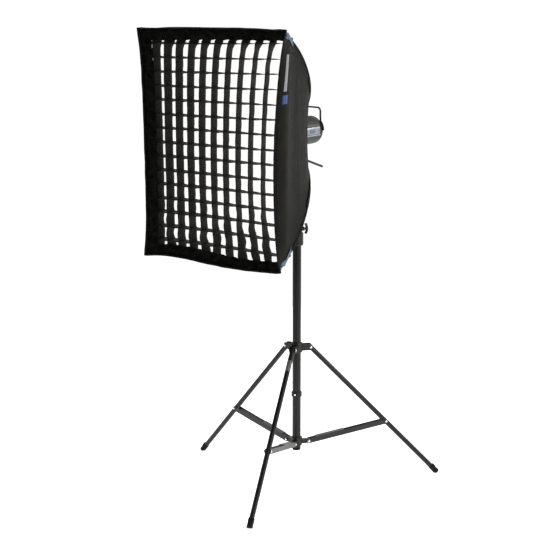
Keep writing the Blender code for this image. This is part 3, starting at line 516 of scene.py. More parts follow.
def turned(name, profile, at, axis, mat, steps=20):
    """Turns (radius, height) points round an axis through a point."""
    axis = Vector(axis).normalized()
    side = axis.orthogonal().normalized()
    other = axis.cross(side)
    verts, faces = [], []
    for radius, height in profile:
        for k in range(steps):
            turn = 2 * math.pi * k / steps
            verts.append(Vector(at) + axis * height
                + (side * math.cos(turn) + other * math.sin(turn)) * radius)
    rows = len(profile)
    for i in range(rows - 1):
        for k in range(steps):
            m = (k + 1) % steps
            faces.append((i * steps + k, i * steps + m, (i + 1) * steps + m,
                (i + 1) * steps + k))
    if profile[0][0] > 0:
        faces.append(tuple(reversed(range(steps))))
    if profile[-1][0] > 0:
        faces.append(tuple(range((rows - 1) * steps, rows * steps)))
    obj = new_mesh(name, verts, faces, mat)
    clean(obj)
    return obj


def clean(obj, sharp=None):
    bm = bmesh.new()
    bm.from_mesh(obj.data)
    bmesh.ops.remove_doubles(bm, verts=bm.verts, dist=0.00001)
    bmesh.ops.recalc_face_normals(bm, faces=bm.faces)
    bm.to_mesh(obj.data)
    bm.free()
    if sharp:
        obj.data.set_sharp_from_angle(angle=math.radians(sharp))


def joined(name, objects):
    """Joins meshes made here into one object."""
    bm = bmesh.new()
    mats = []
    for obj in objects:
        start = len(bm.faces)
        bm.from_mesh(obj.data)
        bm.faces.ensure_lookup_table()
        shift = []
        for mat in obj.data.materials:
            if mat not in mats:
                mats.append(mat)
            shift.append(mats.index(mat))
        for face in bm.faces[start:]:
            face.material_index = shift[face.material_index]
        bpy.data.objects.remove(obj)
    mesh = bpy.data.meshes.new(name)
    bm.to_mesh(mesh)
    bm.free()
    for mat in mats:
        mesh.materials.append(mat)
    out = bpy.data.objects.new(name, mesh)
    bpy.context.scene.collection.objects.link(out)
    return out


def stitched(name, runs, mat, pitch=0.0055, length=0.0034, thick=0.0005):
    """Rows of raised stitches; each run is a list of (point, outward normal)."""
    verts, faces = [], []
    for run in runs:
        walked = pitch / 2
        for (a, na), (b, nb) in zip(run, run[1:]):
            step = (b - a).length
            if step < 1e-6:
                continue
            ahead = (b - a) / step
            while walked < step:
                share = walked / step
                up = (na * (1 - share) + nb * share).normalized()
                side = ahead.cross(up).normalized()
                point = a + ahead * walked
                base = len(verts)
                half = length / 2
                verts += [point - ahead * half,
                    point - ahead * half * 0.5 + side * thick,
                    point - ahead * half * 0.5 + up * thick,
                    point - ahead * half * 0.5 - side * thick,
                    point + ahead * half * 0.5 + side * thick,
                    point + ahead * half * 0.5 + up * thick,
                    point + ahead * half * 0.5 - side * thick,
                    point + ahead * half]
                quads = ((0, 1, 2), (0, 2, 3), (0, 3, 1), (1, 4, 5, 2), (2, 5, 6, 3),
                    (3, 6, 4, 1), (7, 5, 4), (7, 6, 5), (7, 4, 6))
                faces += [tuple(base + k for k in q) for q in quads]
                walked += pitch
            walked -= step
    return new_mesh(name, verts, faces, mat)


# ---- the shell of the softbox ----------------------------------------------
def profile_at(q):
    """Half width, half height and depth at a share of the way from front to ring."""
    if q < RIM_Q:
        return BOX_X, BOX_Z, RIM * q / RIM_Q
    share = (q - RIM_Q) / (1 - RIM_Q)
    fall = 2 * share * (1 - share) * BOW + share * share
    sink = 2 * share * (1 - share) + share * share
    return BOX_X + (RING - BOX_X) * fall, BOX_Z + (RING - BOX_Z) * fall, \
        RIM + (DEPTH - RIM) * sink


def q_of_depth(depth):
    low, high = 0.0, 1.0
    for _ in range(30):
        half = (low + high) / 2
        if profile_at(half)[2] < depth:
            low = half
        else:
            high = half
    return low


def outline(side, u, q):
    """Point across the box (x, z) of one side's cloth, without its ripples."""
    half_x, half_z, depth = profile_at(q)
    fade = math.exp(-depth / FADE)

    def corner(sx, sz):
        dx, dz = CORNERS[sx, sz]
        return Vector((sx * half_x + dx * fade, sz * half_z + dz * fade))

    if side in ("left", "right"):
        sign = 1 if side == "right" else -1
        a, b = corner(sign, -1), corner(sign, 1)
    else:
        sign = 1 if side == "top" else -1
        a, b = corner(-1, sign), corner(1, sign)
    share = (u + 1) / 2
    spot = a + (b - a) * share
    arch = 1 - u * u
    edge = math.exp(-depth / RIM_FADE)
    pocket = POCKET * (1 - math.exp(-depth / 0.018)) * math.exp(-(depth / 0.16) ** 2)
    sunk = PINCH * half_x * smooth((depth - 0.020) / 0.16)
    if side == "right":
        spot.x -= (sunk + 0.004 + BOW_RIGHT * edge) * arch
    elif side == "left":
        spot.x += (sunk + 0.004 * (1 - edge)) * arch + BOW_LEFT * edge * (1 - u ** 4)
    elif side == "top":
        spot.y += 0.012 * half_z * arch
    else:
        spot.y -= 0.012 * half_z * arch * (1 - fade)
        spot.y += 0.0075 * math.sin(2 * math.pi * max(share, 0.0) ** 0.85) * fade
    pocket *= abs(u) ** 9
    spot.x -= math.copysign(pocket, spot.x)
    spot.y -= math.copysign(pocket, spot.y)
    return spot.x, spot.y, depth


SIDE_OUT = {"right": Vector((1, 0, 0)), "left": Vector((-1, 0, 0)),
    "top": Vector((0, 0, 1)), "bottom": Vector((0, 0, -1))}
SIDE_SEED = {"right": 3.1, "left": 11.7, "top": 23.4, "bottom": 37.9}


def world(x, depth, z):
    return Vector((COLUMN_X + x, FACE_Y + depth, AXIS_Z + z))


def raw_shell(side, u, q):
    x, z, depth = outline(side, u, q)
    seed = SIDE_SEED[side]
    hold = (1 - u ** 4) * min(1.0, max(0.0, (1 - q) * 8))
    long_folds = noise.noise(Vector((u * 1.3 + seed, q * 13.0, seed)))
    short_folds = noise.noise(Vector((u * 3.5, q * 34.0 + seed, seed)))
    edge = math.exp(-depth / 0.03)
    rim_wave = noise.noise(Vector((u * 9.0 + seed, depth * 22.0, seed)))
    push = hold * (0.0022 * long_folds + 0.0008 * short_folds) * (1 - 0.6 * edge)
    push += (1 - abs(u) ** 12) * edge * 0.0012 * rim_wave
    return world(x, depth, z) + SIDE_OUT[side] * push


def shell(side, u, q, lift=0.0):
    point = raw_shell(side, u, q)
    if lift:
        point = point + normal_at(side, u, q) * lift
    return point


def normal_at(side, u, q):
    du = raw_shell(side, min(u + 0.01, 1), q) - raw_shell(side, max(u - 0.01, -1), q)
    dq = raw_shell(side, u, min(q + 0.01, 1)) - raw_shell(side, u, max(q - 0.01, 0))
    out = du.cross(dq).normalized()
    return out if out.dot(SIDE_OUT[side]) > 0 else -out


def steps(low, high, count):
    return [low + (high - low) * k / count for k in range(count + 1)]


def front_rows(count):
    """Shares of the way back, closer together over the straight rim."""
    return steps(0.0, RIM_Q, 6) + steps(RIM_Q, 1.0, count)[1:]


def side_length(side):
    return 2 * (BOX_Z if side in ("right", "left") else BOX_X)


def build_panels():
    for side in ("top", "bottom", "right", "left"):
        rows = []
        for q in front_rows(46):
            rows.append([shell(side, u, q) for u in steps(-1.0, 1.0, 48)])
        rod = "rod_upper_left" if side == "left" else "rod_upper_right"
        cloth("shell_" + side, outward(rows), [NYLON, LINING],
            (side_length(side) + SEAM_ALLOWANCE, PANEL_RUN), "stretched", [rod],
            replaces=["panel_" + side], thick=CLOTH, offset=-1.0, lining=True)


def build_lip_tape():
    """Fuzzy hook tape round the outside of the front rim, and its stitching."""
    runs = []
    for side in ("top", "bottom", "right", "left"):
        rows = []
        for depth in steps(TAPE_FROM, TAPE_TO, 7):
            q = q_of_depth(depth)
            rows.append([shell(side, u, q, TAPE_LIFT) for u in steps(-0.998, 0.998, 64)])
        cloth("lip_tape_" + side, outward(rows), HOOK_TAPE,
            (side_length(side) + SEAM_ALLOWANCE, 0.045), "stretched", ["shell_" + side],
            thick=0.0010, offset=1.0)
        for depth in (0.0042, 0.0415):
            q = q_of_depth(depth)
            runs.append([(shell(side, u, q, 0.0018), normal_at(side, u, q))
                for u in steps(-0.985, 0.985, 60)])
    piece(stitched("lip_stitching", runs, THREAD), "softbox")


def loop_points(q, inset, count=48):
    """Points once round the box at one depth, and their outward directions."""
    points, outs = [], []
    order = (("top", -1, 1), ("right", 1, -1), ("bottom", 1, -1), ("left", -1, 1))
    for side, start, end in order:
        for u in steps(start, end, count)[:-1]:
            out = normal_at(side, u * 0.998, q)
            points.append(shell(side, u, q) - SIDE_OUT[side] * inset)
            outs.append(out)
    return points, outs


def build_front_binding():
    """A folded tape that binds the front edge all the way round."""
    points, outs = loop_points(0.0, 0.0004)
    section = [(-0.0, 0.0024), (-0.0016, 0.0016), (-0.0022, -0.0), (-0.0016, -0.0016),
        (-0.0, -0.0024), (0.0080, -0.0020), (0.0082, 0.0), (0.0080, 0.0020)]
    swept_tape("front_binding", points, section, BLACK_WEB, outs)


# ---- front grid --------------------------------------------------------------
def face_edge(side, u, inset=0.0):
    """(x, z) of the face's edge, moved in by an inset."""
    x, z, _ = outline(side, u, 0.0)
    out = SIDE_OUT[side]
    return x - out.x * inset, z - out.z * inset


def edge_x(side, z, q=0.0):
    """x of the left or right edge at a height z."""
    low = outline(side, -1, q)[1]
    high = outline(side, 1, q)[1]
    u = max(-1.0, min(1.0, 2 * (z - low) / (high - low) - 1))
    return outline(side, u, q)[0]


def edge_z(side, x):
    left = outline(side, -1, 0.0)[0]
    right = outline(side, 1, 0.0)[0]
    u = max(-1.0, min(1.0, 2 * (x - left) / (right - left) - 1))
    return outline(side, u, 0.0)[1]


def lean(k, z):
    """How far a ribbon hangs to the left of its even place."""
    tall = min(abs(z / BOX_Z), 1.0)
    shape = 0.0050 + 0.0145 * math.sin(math.pi * (k / COLUMNS) ** 0.85)
    shape += 0.0032 * (k / COLUMNS) ** 2
    return -shape * (1 - (tall ** 6 if z > 0 else 0.35 * tall ** 10))


def row_height(j, x):
    """Height of crossing ribbon j (1 is the top one) at x."""
    share = (x / BOX_X + 1) / 2
    first = ROW_FIRST - 0.0105 * share ** 3
    top = edge_z("top", x) - first - (ROW_PITCH + 0.0020 * share ** 2) * (j - 1)
    sag = 0.0035 * (1 - (x / BOX_X) ** 2)
    slope = 0.0010 * math.sin(j * 2.3) * x / BOX_X
    return top - sag * (0.5 + 0.5 * math.sin(j * 1.7 + 0.6) ** 2) + slope


def rear_shift(k, tall):
    """How far the rear edge of ribbon k is drawn toward the middle."""
    low = smooth((-tall - 0.55) / 0.3)
    return (0.0080 - 0.0016 * k) * (1 - low) + 0.0050 * low


def upright_x(k, z):
    left = edge_x("left", z) + 0.0015
    right = edge_x("right", z) - 0.0015
    return left + (right - left) * k / COLUMNS + lean(k, z)


def smooth(value):
    value = max(0.0, min(1.0, value))
    return value * value * (3 - 2 * value)


def front_depth(x, z):
    """Where a ribbon's front edge lies: level with the hem, or tucked under it."""
    gap = min(x - edge_x("left", z) - HEM_LEFT, edge_z("top", x) - HEM_TOP - z,
        z - edge_z("bottom", x) - HEM_BOTTOM_RIGHT)
    return STRIP_FRONT + 0.0065 * smooth((0.004 - gap) / 0.008)


def ribbon(name, rows, length, held):
    cloth(name, rows, GRID_CLOTH, (STRIP_REAR - STRIP_FRONT + 0.002, length), held,
        ["grid_hem_top"], "grid_cloth", thick=RIBBON)


def upright_line(k, z, sway, shift, waist):
    """Points from front to rear across ribbon k; sway is at its front and rear edges."""
    x = upright_x(k, z)
    begin = front_depth(x, z)
    front, rear = sway
    line = []
    for part in steps(0.0, 1.0, 5):
        depth = begin + (STRIP_REAR - begin) * part
        push = front + (rear - front) * part + shift * part
        push += 0.0012 * math.sin(math.pi * part) * waist
        line.append(world(x + push, depth, z))
    return line


def build_uprights():
    for k in range(1, COLUMNS):
        swing = [chance.uniform(-1, 1) for _ in range(ROWS + 2)]
        twist = [chance.uniform(-1, 1) for _ in range(ROWS + 2)]
        fold = chance.uniform(0.5, 1.2)
        middle_x = upright_x(k, 0.0)
        top = edge_z("top", middle_x) - 0.0035
        bottom = edge_z("bottom", middle_x) + 0.0035
        marks = [top] + [row_height(j, middle_x) for j in range(1, ROWS + 1)] + [bottom]
        spots = [(high + (low - high) * share, cell, share)
            for cell, (high, low) in enumerate(zip(marks, marks[1:]))
            for share in steps(0.0, 1.0, 6)[:-1]]
        spots.append((bottom, len(marks) - 2, 1.0))
        points = []
        for z, cell, share in spots:
            tall = z / BOX_Z
            slack = 0.0012 + 0.0042 * smooth((-tall - 0.25) / 0.6)
            slack += 0.0014 * smooth((tall - 0.6) / 0.3)
            bulge = math.sin(math.pi * share) ** 2
            front = slack * swing[cell] * bulge
            rear = slack * (0.5 * swing[cell] + twist[cell]) * bulge
            rear += 0.015 * fold * smooth((z - (top - 0.074)) / 0.034)
            rear += 0.003 * fold * smooth((bottom + 0.075 - z) / 0.04)
            points.append(upright_line(k, z, (front, rear), rear_shift(k, tall),
                twist[cell] * bulge))
        ribbon(f"grid_upright_{k:02d}", points, top - bottom + 0.012, "hung")


def crossing_line(j, cell, share, swing, tilt):
    """Points from front to rear across crossing ribbon j, at a share along one cell."""
    guess = row_height(j, 0.0)
    first, last = cell == 0, cell == COLUMNS - 1
    a = edge_x("left", guess) + EDGE_GAP if first else upright_x(cell, guess)
    b = edge_x("right", guess) - EDGE_GAP if last else upright_x(cell + 1, guess)
    z = row_height(j, a + (b - a) * share)
    bulge = math.sin(math.pi * share) ** 2
    begin = front_depth(a + (b - a) * share, z)
    line = []
    for part in steps(0.0, 1.0, 4):
        depth = begin + (STRIP_REAR - begin) * part
        start = edge_x("left", z, q_of_depth(depth)) + EDGE_GAP if first else a
        end = edge_x("right", z, q_of_depth(depth)) - EDGE_GAP if last else b
        x = start + (end - start) * share
        drop = -0.0016 * swing * bulge
        drop += 0.0018 * tilt * bulge * (part - 0.5)
        drop += 0.0036 * (1 - x / BOX_X) * part
        line.append(world(x, depth, z + drop))
    return line


def build_crossings():
    for j in range(1, ROWS + 1):
        swing = [chance.uniform(0.3, 1.6) for _ in range(COLUMNS + 1)]
        tilt = [chance.uniform(-1, 1) for _ in range(COLUMNS + 1)]
        points = []
        for cell in range(COLUMNS):
            for share in steps(0.0, 1.0, 6)[:-1] + ([1.0] if cell == COLUMNS - 1 else []):
                points.append(crossing_line(j, cell, share, swing[cell], tilt[cell]))
        ribbon(f"grid_crossing_{j:02d}", points, 2 * BOX_X + 0.01, "stretched")


def hem_inner(side, u):
    """Inner edge of the hem that faces forward round the grid."""
    share = (u + 1) / 2
    x, z = face_edge(side, u)
    if side in ("left", "right"):
        band = HEM_BOTTOM_LEFT if side == "left" else HEM_BOTTOM_RIGHT
        bottom = edge_z("bottom", x) + band
        top = edge_z("top", x) - HEM_TOP
        z = bottom + (top - bottom) * share
        return (edge_x("left", z) + HEM_LEFT if side == "left"
            else edge_x("right", z) - HEM_RIGHT), z
    if side == "top":
        z = edge_z("top", x) - HEM_TOP + 0.006 * share ** 6
    else:
        z = edge_z("bottom", x) + HEM_BOTTOM_LEFT
        z += (HEM_BOTTOM_RIGHT - HEM_BOTTOM_LEFT) * share
    left = edge_x("left", z) + HEM_LEFT
    right = edge_x("right", z) - HEM_RIGHT
    return left + (right - left) * share, z


def hem_point(side, u, w):
    """Point on the hem, from the face's edge (w = 0) to its inner edge (w = 1)."""
    narrow = side == "right"
    pulls = ROWS + 1 if side in ("left", "right") else COLUMNS
    edge = Vector(face_edge(side, u, 0.0018))
    inner = Vector(hem_inner(side, u))
    spot = edge + (inner - edge) * (min(1.0, w * 3) if narrow else w)
    phase = math.cos(math.pi * pulls * (u + 1))
    mound = math.sin(math.pi * min(w * 1.1, 1.0)) * (0.25 if narrow else 1.0)
    fine = noise.noise(Vector((spot.x * 60, spot.y * 60, 5.0)))
    pleat = abs(math.sin(math.pi * (pulls * (u + 1) / 2 + 0.30 * w)))
    depth = 0.0006 + 0.0046 * w - 0.0022 * mound * (0.6 - 0.4 * phase)
    depth += 0.0024 * fine * mound
    depth -= 0.0046 * (1 - pleat) ** 2 * mound * (0.6 + 0.8 * fine)
    if narrow:
        depth += HEM_TURNED * max(0.0, w - 0.33) / 0.67
    ends = min(1.0, 40 * (1 - abs(u)))
    spot -= Vector((SIDE_OUT[side].x, SIDE_OUT[side].z)) * (0.0016 * phase * w * ends)
    return world(spot.x, depth, spot.y)


def build_grid_hem():
    """The grid's own border: a soft band that faces forward and puckers."""
    for side in ("top", "bottom", "right", "left"):
        cuts = 240 if side in ("left", "right") else 176
        rows = [[hem_point(side, u, w) for u in steps(-1.0, 1.0, cuts)]
            for w in steps(0.0, 1.0, 12)]
        long = side_length(side) + 0.01
        cloth("grid_hem_" + side, rows, HEM_CLOTH, lambda area, long=long: (long, area / long),
            "gathered", ["shell_" + side], "grid_cloth",
            ["egg_crate_grid"] if side == "top" else [], thick=0.0012, even=False)


def build_grid_wall():
    """The cloth wall round the grid, just inside the front tape."""
    wall_rows = []
    for depth in steps(0.0040, STRIP_REAR - 0.001, 5):
        row = []
        q = q_of_depth(depth)
        for side, start, end in (("top", -1, 1), ("right", 1, -1), ("bottom", 1, -1),
                ("left", -1, 1)):
            for u in steps(start, end, 60)[:-1]:
                row.append(shell(side, u, q) - SIDE_OUT[side] * 0.0026)
        wall_rows.append(row)
    cloth("grid_wall", wall_rows, GRID_CLOTH, (2.84, 0.043), "stretched", ["grid_hem_top"],
        "grid_cloth", thick=0.0010, closed=True)


def rim_point(side, u, depth):
    x, z, _ = outline(side, u, q_of_depth(depth))
    return Vector((x, z))


def diffuser_point(edges, i, j, s, t):
    """Point of the sheet between its four edges, s of the way across and t up."""
    low, high = edges["bottom"], edges["top"]
    spot = edges["left"][i] * (1 - s) + edges["right"][i] * s
    spot += low[j] * (1 - t) + high[j] * t
    spot -= (low[0] * (1 - s) + low[-1] * s) * (1 - t)
    spot -= (high[0] * (1 - s) + high[-1] * s) * t
    spot.x *= 1 - DIFFUSER_INSET / BOX_X
    spot.y *= 1 - DIFFUSER_INSET / BOX_Z
    bag = 16 * s * (1 - s) * t * (1 - t)
    wave = noise.noise(Vector((s * 8, t * 10, 2.0))) * 0.0016 * bag
    return world(spot.x, 0.0480 + 0.010 * bag ** 0.8 + wave, spot.y)


def build_diffuser():
    """The white front sheet, hung from its four edges and bagged a little to the rear."""
    wide, tall = 40, 56
    edges = {side: [rim_point(side, u, DIFFUSER_DEPTH) for u in steps(-1.0, 1.0, count)]
        for side, count in (("top", wide), ("bottom", wide), ("left", tall),
        ("right", tall))}
    rows = [[diffuser_point(edges, i, j, j / wide, i / tall) for j in range(wide + 1)]
        for i in range(tall + 1)]
    cloth("diffuser_sheet", rows, DIFFUSER, (0.60, 0.83), "stretched",
        ["shell_top", "shell_bottom"], "white_nylon", ["front_diffuser"], thick=0.0005,
        offset=1.0)
    points, outs = loop_points(q_of_depth(DIFFUSER_DEPTH), 0.0032)
    section = [(-0.0045, 0.0008), (0.0045, 0.0008), (0.0045, -0.0008), (-0.0045, -0.0008)]
    swept_tape("diffuser_tape", points, section, BLACK_WEB, outs)


def build_baffle():
    low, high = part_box("inner_baffle")
    half_x, half_z = (high.x - low.x) / 2, (high.z - low.z) / 2
    rows = []
    for v in steps(-1.0, 1.0, 36):
        row = []
        for u in steps(-1.0, 1.0, 26):
            arch_x = 1 - 0.06 * (1 - v * v)
            arch_z = 1 - 0.05 * (1 - u * u)
            bag = (1 - u * u) * (1 - v * v)
            row.append(Vector((COLUMN_X + half_x * u * arch_x,
                low.y + 0.0008 + 0.004 * bag, AXIS_Z + half_z * v * arch_z)))
        rows.append(row)
    cloth("baffle_sheet", rows, BAFFLE, (2 * half_x, 2 * half_z), "stretched",
        ["rod_upper_right", "rod_upper_left", "rod_lower_left", "rod_lower_right"],
        "white_nylon", ["inner_baffle"], thick=0.0006)


# ---- seams, corners, flaps -----------------------------------------------------
SEAMS = {"upper_right": ("right", 1, "top", 1), "upper_left": ("left", 1, "top", -1),
    "lower_left": ("left", -1, "bottom", -1), "lower_right": ("right", -1, "bottom", 1)}


def seam_point(name, q):
    side_a, end_a, side_b, end_b = SEAMS[name]
    point = shell(side_a, end_a, q)
    out = (normal_at(side_a, end_a * 0.97, q) + normal_at(side_b, end_b * 0.97, q))
    return point, out.normalized()


def across_seam(name, q, reach, lift, count=5):
    """Points across a corner seam, from one panel over the edge to the other."""
    side_a, end_a, side_b, end_b = SEAMS[name]
    half_x, half_z, _ = profile_at(q)
    spots = []
    for k in range(count, 0, -1):
        share = reach * k / count
        spots.append(shell(side_a, end_a * (1 - share / half_z), q, lift))
    point, out = seam_point(name, q)
    spots.append(point + out * lift * 1.5)
    for k in range(1, count + 1):
        share = reach * k / count
        spots.append(shell(side_b, end_b * (1 - share / half_x), q, lift))
    return spots


def build_seams():
    runs = []
    blue_runs = []
    for name in SEAMS:
        path, outs = [], []
        for q in steps(0.002, 0.995, 60):
            point, out = seam_point(name, q)
            path.append(point + out * 0.0012)
            outs.append(out)
        swept_tape("seam_piping_" + name, path, ring_section(0.0022, 0.0028), BLACK_WEB, outs,
            False)
        side_a, end_a, side_b, end_b = SEAMS[name]
        for side, end in ((side_a, end_a), (side_b, end_b)):
            run = []
            for q in steps(0.20, 0.985, 60):
                half = profile_at(q)[1 if side in ("right", "left") else 0]
                u = end * (1 - 0.0075 / half)
                run.append((shell(side, u, q, 0.0003), normal_at(side, u, q)))
            runs.append(run)
        rows = []
        for depth in steps(0.0, WEBBING_LONG, 24):
            q = q_of_depth(depth)
            reach = 0.0170 + 0.0070 * smooth(depth / 0.030)
            lift = 0.0022 + 0.0012 * (1 - smooth(depth / 0.014))
            rows.append(across_seam(name, q, reach, lift))
        cloth("corner_webbing_" + name, outward(rows), BLUE_WEB, (0.050, 0.125), "stretched",
            ["seam_piping_" + name], "blue_webbing", ["corner_trim_" + name], thick=0.0012,
            offset=1.0)
        out = seam_point(name, 0.1)[1]
        for edge in (1, -2):
            blue_runs.append([(row[edge] + out * 0.0014, out) for row in rows[1:]])
        build_corner_tabs(name)
    piece(stitched("seam_stitching", runs, THREAD), "softbox")
    piece(stitched("corner_stitching", blue_runs, BLUE_THREAD, 0.0048, 0.0030), "softbox")


def webbing_loop(name, base, out, ahead, height, width, mat):
    """A short loop of tape that stands out from a seam."""
    side = ahead.cross(out).normalized()
    path = []
    for k in range(13):
        turn = math.pi * k / 12
        path.append(base + side * math.cos(turn) * 0.0026
            + out * (math.sin(turn) ** 0.7) * height)
    section = [(-width / 2, 0.0005), (width / 2, 0.0005), (width / 2, -0.0005),
        (-width / 2, -0.0005)]
    normals = []
    for k in range(13):
        turn = math.pi * k / 12
        normals.append((side * math.cos(turn) + out * math.sin(turn) * 1.5).normalized())
    loop = sweep(name, path, section, mat, normals)
    clean(loop, 40)
    piece(loop, "softbox")


def build_corner_tabs(name):
    q = q_of_depth(0.098)
    point, out = seam_point(name, q)
    ahead = (seam_point(name, q + 0.02)[0] - point).normalized()
    webbing_loop("pull_loop_" + name, point + out * 0.003, out, ahead, 0.0050, 0.0080,
        BLUE_WEB)
    point, out = seam_point(name, 0.02)
    ahead = (seam_point(name, 0.05)[0] - point).normalized()
    sign = 1 if "right" in name else -1
    tall = 1 if "upper" in name else -1
    side_out = Vector((sign * 0.95, 0, tall * 0.3)).normalized()
    up_out = Vector((sign * 0.2, 0, tall)).normalized()
    webbing_loop("corner_ear_" + name, point + Vector((0, 0, -tall * 0.012)), side_out,
        Vector((0, 1, 0)), 0.0070, 0.0090, BLACK_WEB)
    webbing_loop("corner_fold_" + name, point + Vector((-sign * 0.014, 0, 0)), up_out,
        Vector((0, 1, 0)), 0.0065, 0.0100, BLACK_WEB)


def build_seam_flaps():
    """A flap over each seam where the rod can be reached."""
    for name in ("lower_right", "lower_left", "upper_right", "upper_left"):
        low_seam = name.startswith("lower")
        first, last, rise = (0.455, 0.70, 0.0010) if low_seam else (0.52, 0.69, 0.0004)
        rows = []
        for q in steps(first, last, 18):
            share = (q - first) / (last - first)
            end = min(share, 1 - share) * 6
            lift = 0.0014 + rise * smooth(end)
            rows.append(across_seam(name, q, 0.020, lift))
        cloth("seam_flap_" + name, outward(rows), NYLON, lambda area: (0.044, area / 0.042),
            "stretched", ["seam_piping_" + name], thick=0.0010, offset=1.0)


def build_rear_skirt():
    """Cloth that closes the square back of the shell down to the ring."""
    rows = []
    count = 192
    for w in steps(0.0, 1.0, 10):
        row = []
        for k in range(count):
            turn = 2 * math.pi * k / count
            c, s = math.cos(turn), math.sin(turn)
            reach = RING / max(abs(c), abs(s)) - 0.0006
            outer = Vector((c * reach, s * reach))
            inner = Vector((c, s)) * 0.0820
            spot = outer + (inner - outer) * w
            gather = 0.0011 * math.cos(48 * turn) * w
            row.append(world(spot.x, 0.5003 + 0.0032 * math.sin(math.pi * w * 0.5) + gather,
                spot.y))
        rows.append(row)
    cloth("rear_skirt", rows, NYLON, (0.20, 0.20), "gathered", ["speed_ring"], thick=CLOTH,
        offset=1.0, closed=True)
    points = []
    for k in range(96):
        turn = 2 * math.pi * k / 96
        points.append(world(0.0822 * math.cos(turn), 0.5042, 0.0822 * math.sin(turn)))
    outs = [(p - world(0, 0.5042, 0)).normalized() for p in points]
    swept_tape("rear_elastic", points, ring_section(0.0022, 0.0018), BLACK_WEB, outs)
    points, outs = loop_points(0.992, -0.0006, 24)
    section = [(-0.009, 0.0010), (0.009, 0.0010), (0.009, -0.0006), (-0.009, -0.0006)]
    swept_tape("rear_band", points, section, HOOK_TAPE, outs)


def build_label():
    """A plain woven strip with a plain blue patch; no lettering."""
    def strip(name, low, high, near, far, slope, mat, replaces=()):
        rows = []
        for share in steps(0.0, 1.0, 4):
            row = []
            for t in steps(0.0, 1.0, 30):
                depth = near + (far - near) * share + slope * t
                row.append(shell("right", (low + (high - low) * t) / BOX_Z,
                    q_of_depth(depth), 0.0022))
            rows.append(row)
        tall = high - low
        cloth(name, outward(rows), mat, lambda area: (tall + 0.002, area / tall), "laid",
            ["lip_tape_right"], "label_cloth", replaces, thick=0.0007, offset=1.0)

    strip("side_label_ribbon", 0.208, 0.335, 0.0157, 0.0330, 0.008, LABEL, ["side_label"])
    strip("side_label_patch", 0.164, 0.195, 0.0117, 0.0400, 0.0, LABEL_BLUE)


# ---- stand details -----------------------------------------------------------------
KNEE = 0.4524              # along a leg, from its pivot to its stretcher
FOOT_RIBS = (0.7380, 0.7425, 0.7470)
STICKER_SPAN = (0.052, 0.100)


def hinge_line(name):
    """A joint's place and the direction of its axis."""
    joint = next(j for j in frame["joints"] if j["name"] == name)
    return Vector(joint["pos_m"]), Vector(joint["axis"]).normalized()


def rivet(name, at, axis, radius=0.0046):
    profile = [(radius, 0.0), (radius, 0.0006), (radius * 0.88, 0.0014),
        (radius * 0.6, 0.0020), (radius * 0.25, 0.0023), (0.0, 0.0024)]
    return turned(name, profile, at, axis, NICKEL, 16)


def washer(name, at, axis, outer, inner, thick):
    profile = [(inner, 0.0), (outer, 0.0), (outer, thick), (inner, thick), (inner, 0.0)]
    return turned(name, profile, at, axis, SPRING, 20)


def build_rivets():
    for i in (1, 2, 3):
        for joint, reach, body, label in (
                ("leg_hinge", 0.0145, "spider", "leg_pivot"),
                ("stretcher_hinge", 0.0134, "column", "hub_pivot")):
            spot, axis = hinge_line(f"{joint}_{i}")
            caps = []
            for sign in (1, -1):
                foot = spot + axis * sign * (reach - 0.0004)
                caps.append(rivet("cap", foot, axis * sign))
                caps.append(washer("ring", foot - axis * sign * 0.0008, axis * sign, 0.0062,
                    0.0030, 0.0010))
            piece(joined(f"{label}_rivets_{i}", caps), body)
        pivot, axis = hinge_line(f"leg_hinge_{i}")
        along = middle(f"foot_{i}") - pivot
        along = (along - axis * along.dot(axis)).normalized()
        knee = pivot + along * KNEE
        caps = [rivet("cap", knee + axis * sign * 0.0137, axis * sign, 0.0050)
            for sign in (1, -1)]
        piece(joined(f"knee_rivets_{i}", caps), f"stretcher_{i}")
        collar = []
        for reach in FOOT_RIBS:
            profile = [(0.0116, -0.0012), (0.0123, -0.0006), (0.0123, 0.0006),
                (0.0116, 0.0012)]
            collar.append(turned("rib", profile, pivot + along * reach, along, RUBBER, 24))
        piece(joined(f"foot_ribs_{i}", collar), f"leg_{i}")
        if i == 3:
            build_leg_sticker(pivot, along, axis)


def build_leg_sticker(pivot, along, axis):
    """A plain grey sticker with nothing printed on it."""
    out = axis.cross(along).normalized()
    if out.dot(Vector((0.5, -0.85, 0))) < 0:
        out = -out
    rows = []
    for reach in steps(*STICKER_SPAN, 8):
        row = []
        for turn in steps(-1.15, 1.15, 10):
            ray = out * math.cos(turn) + axis * math.sin(turn)
            row.append(pivot + along * reach + ray * 0.01005)
        rows.append(row)
    sticker = lattice("leg_sticker", rows, STICKER, 0.0003, 0.0)
    piece(sticker, "leg_3")


def build_collar_line():
    """A thin steel ring low on the top collar."""
    centre = Vector((COLUMN_X, COLUMN_Y, 0))
    low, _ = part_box("top_collar")
    ring = turned("collar_line", [(0.0207, 0.0), (0.0212, 0.0004), (0.0212, 0.0012),
        (0.0207, 0.0016)],
        centre + Vector((0, 0, low.z + 0.0090)), (0, 0, 1), SPRING, 32)
    piece(ring, "column")


# ---- head details --------------------------------------------------------------------
def on_head(turn, y, lift):
    """Point on the round of the head; turn 0 is its right side, 90 the top."""
    angle = math.radians(turn)
    reach = HEAD_R + lift
    return Vector((COLUMN_X + reach * math.cos(angle), y, AXIS_Z + reach * math.sin(angle)))


def head_strip(name, turns, ys, lift, thick, mat):
    rows = []
    for turn in steps(turns[0], turns[1], 12):
        rows.append([on_head(turn, y, lift) for y in steps(ys[0], ys[1], 24)])
    strip = lattice(name, outward(rows), mat, thick, 1.0)
    piece(strip, "flash_head")
    return strip


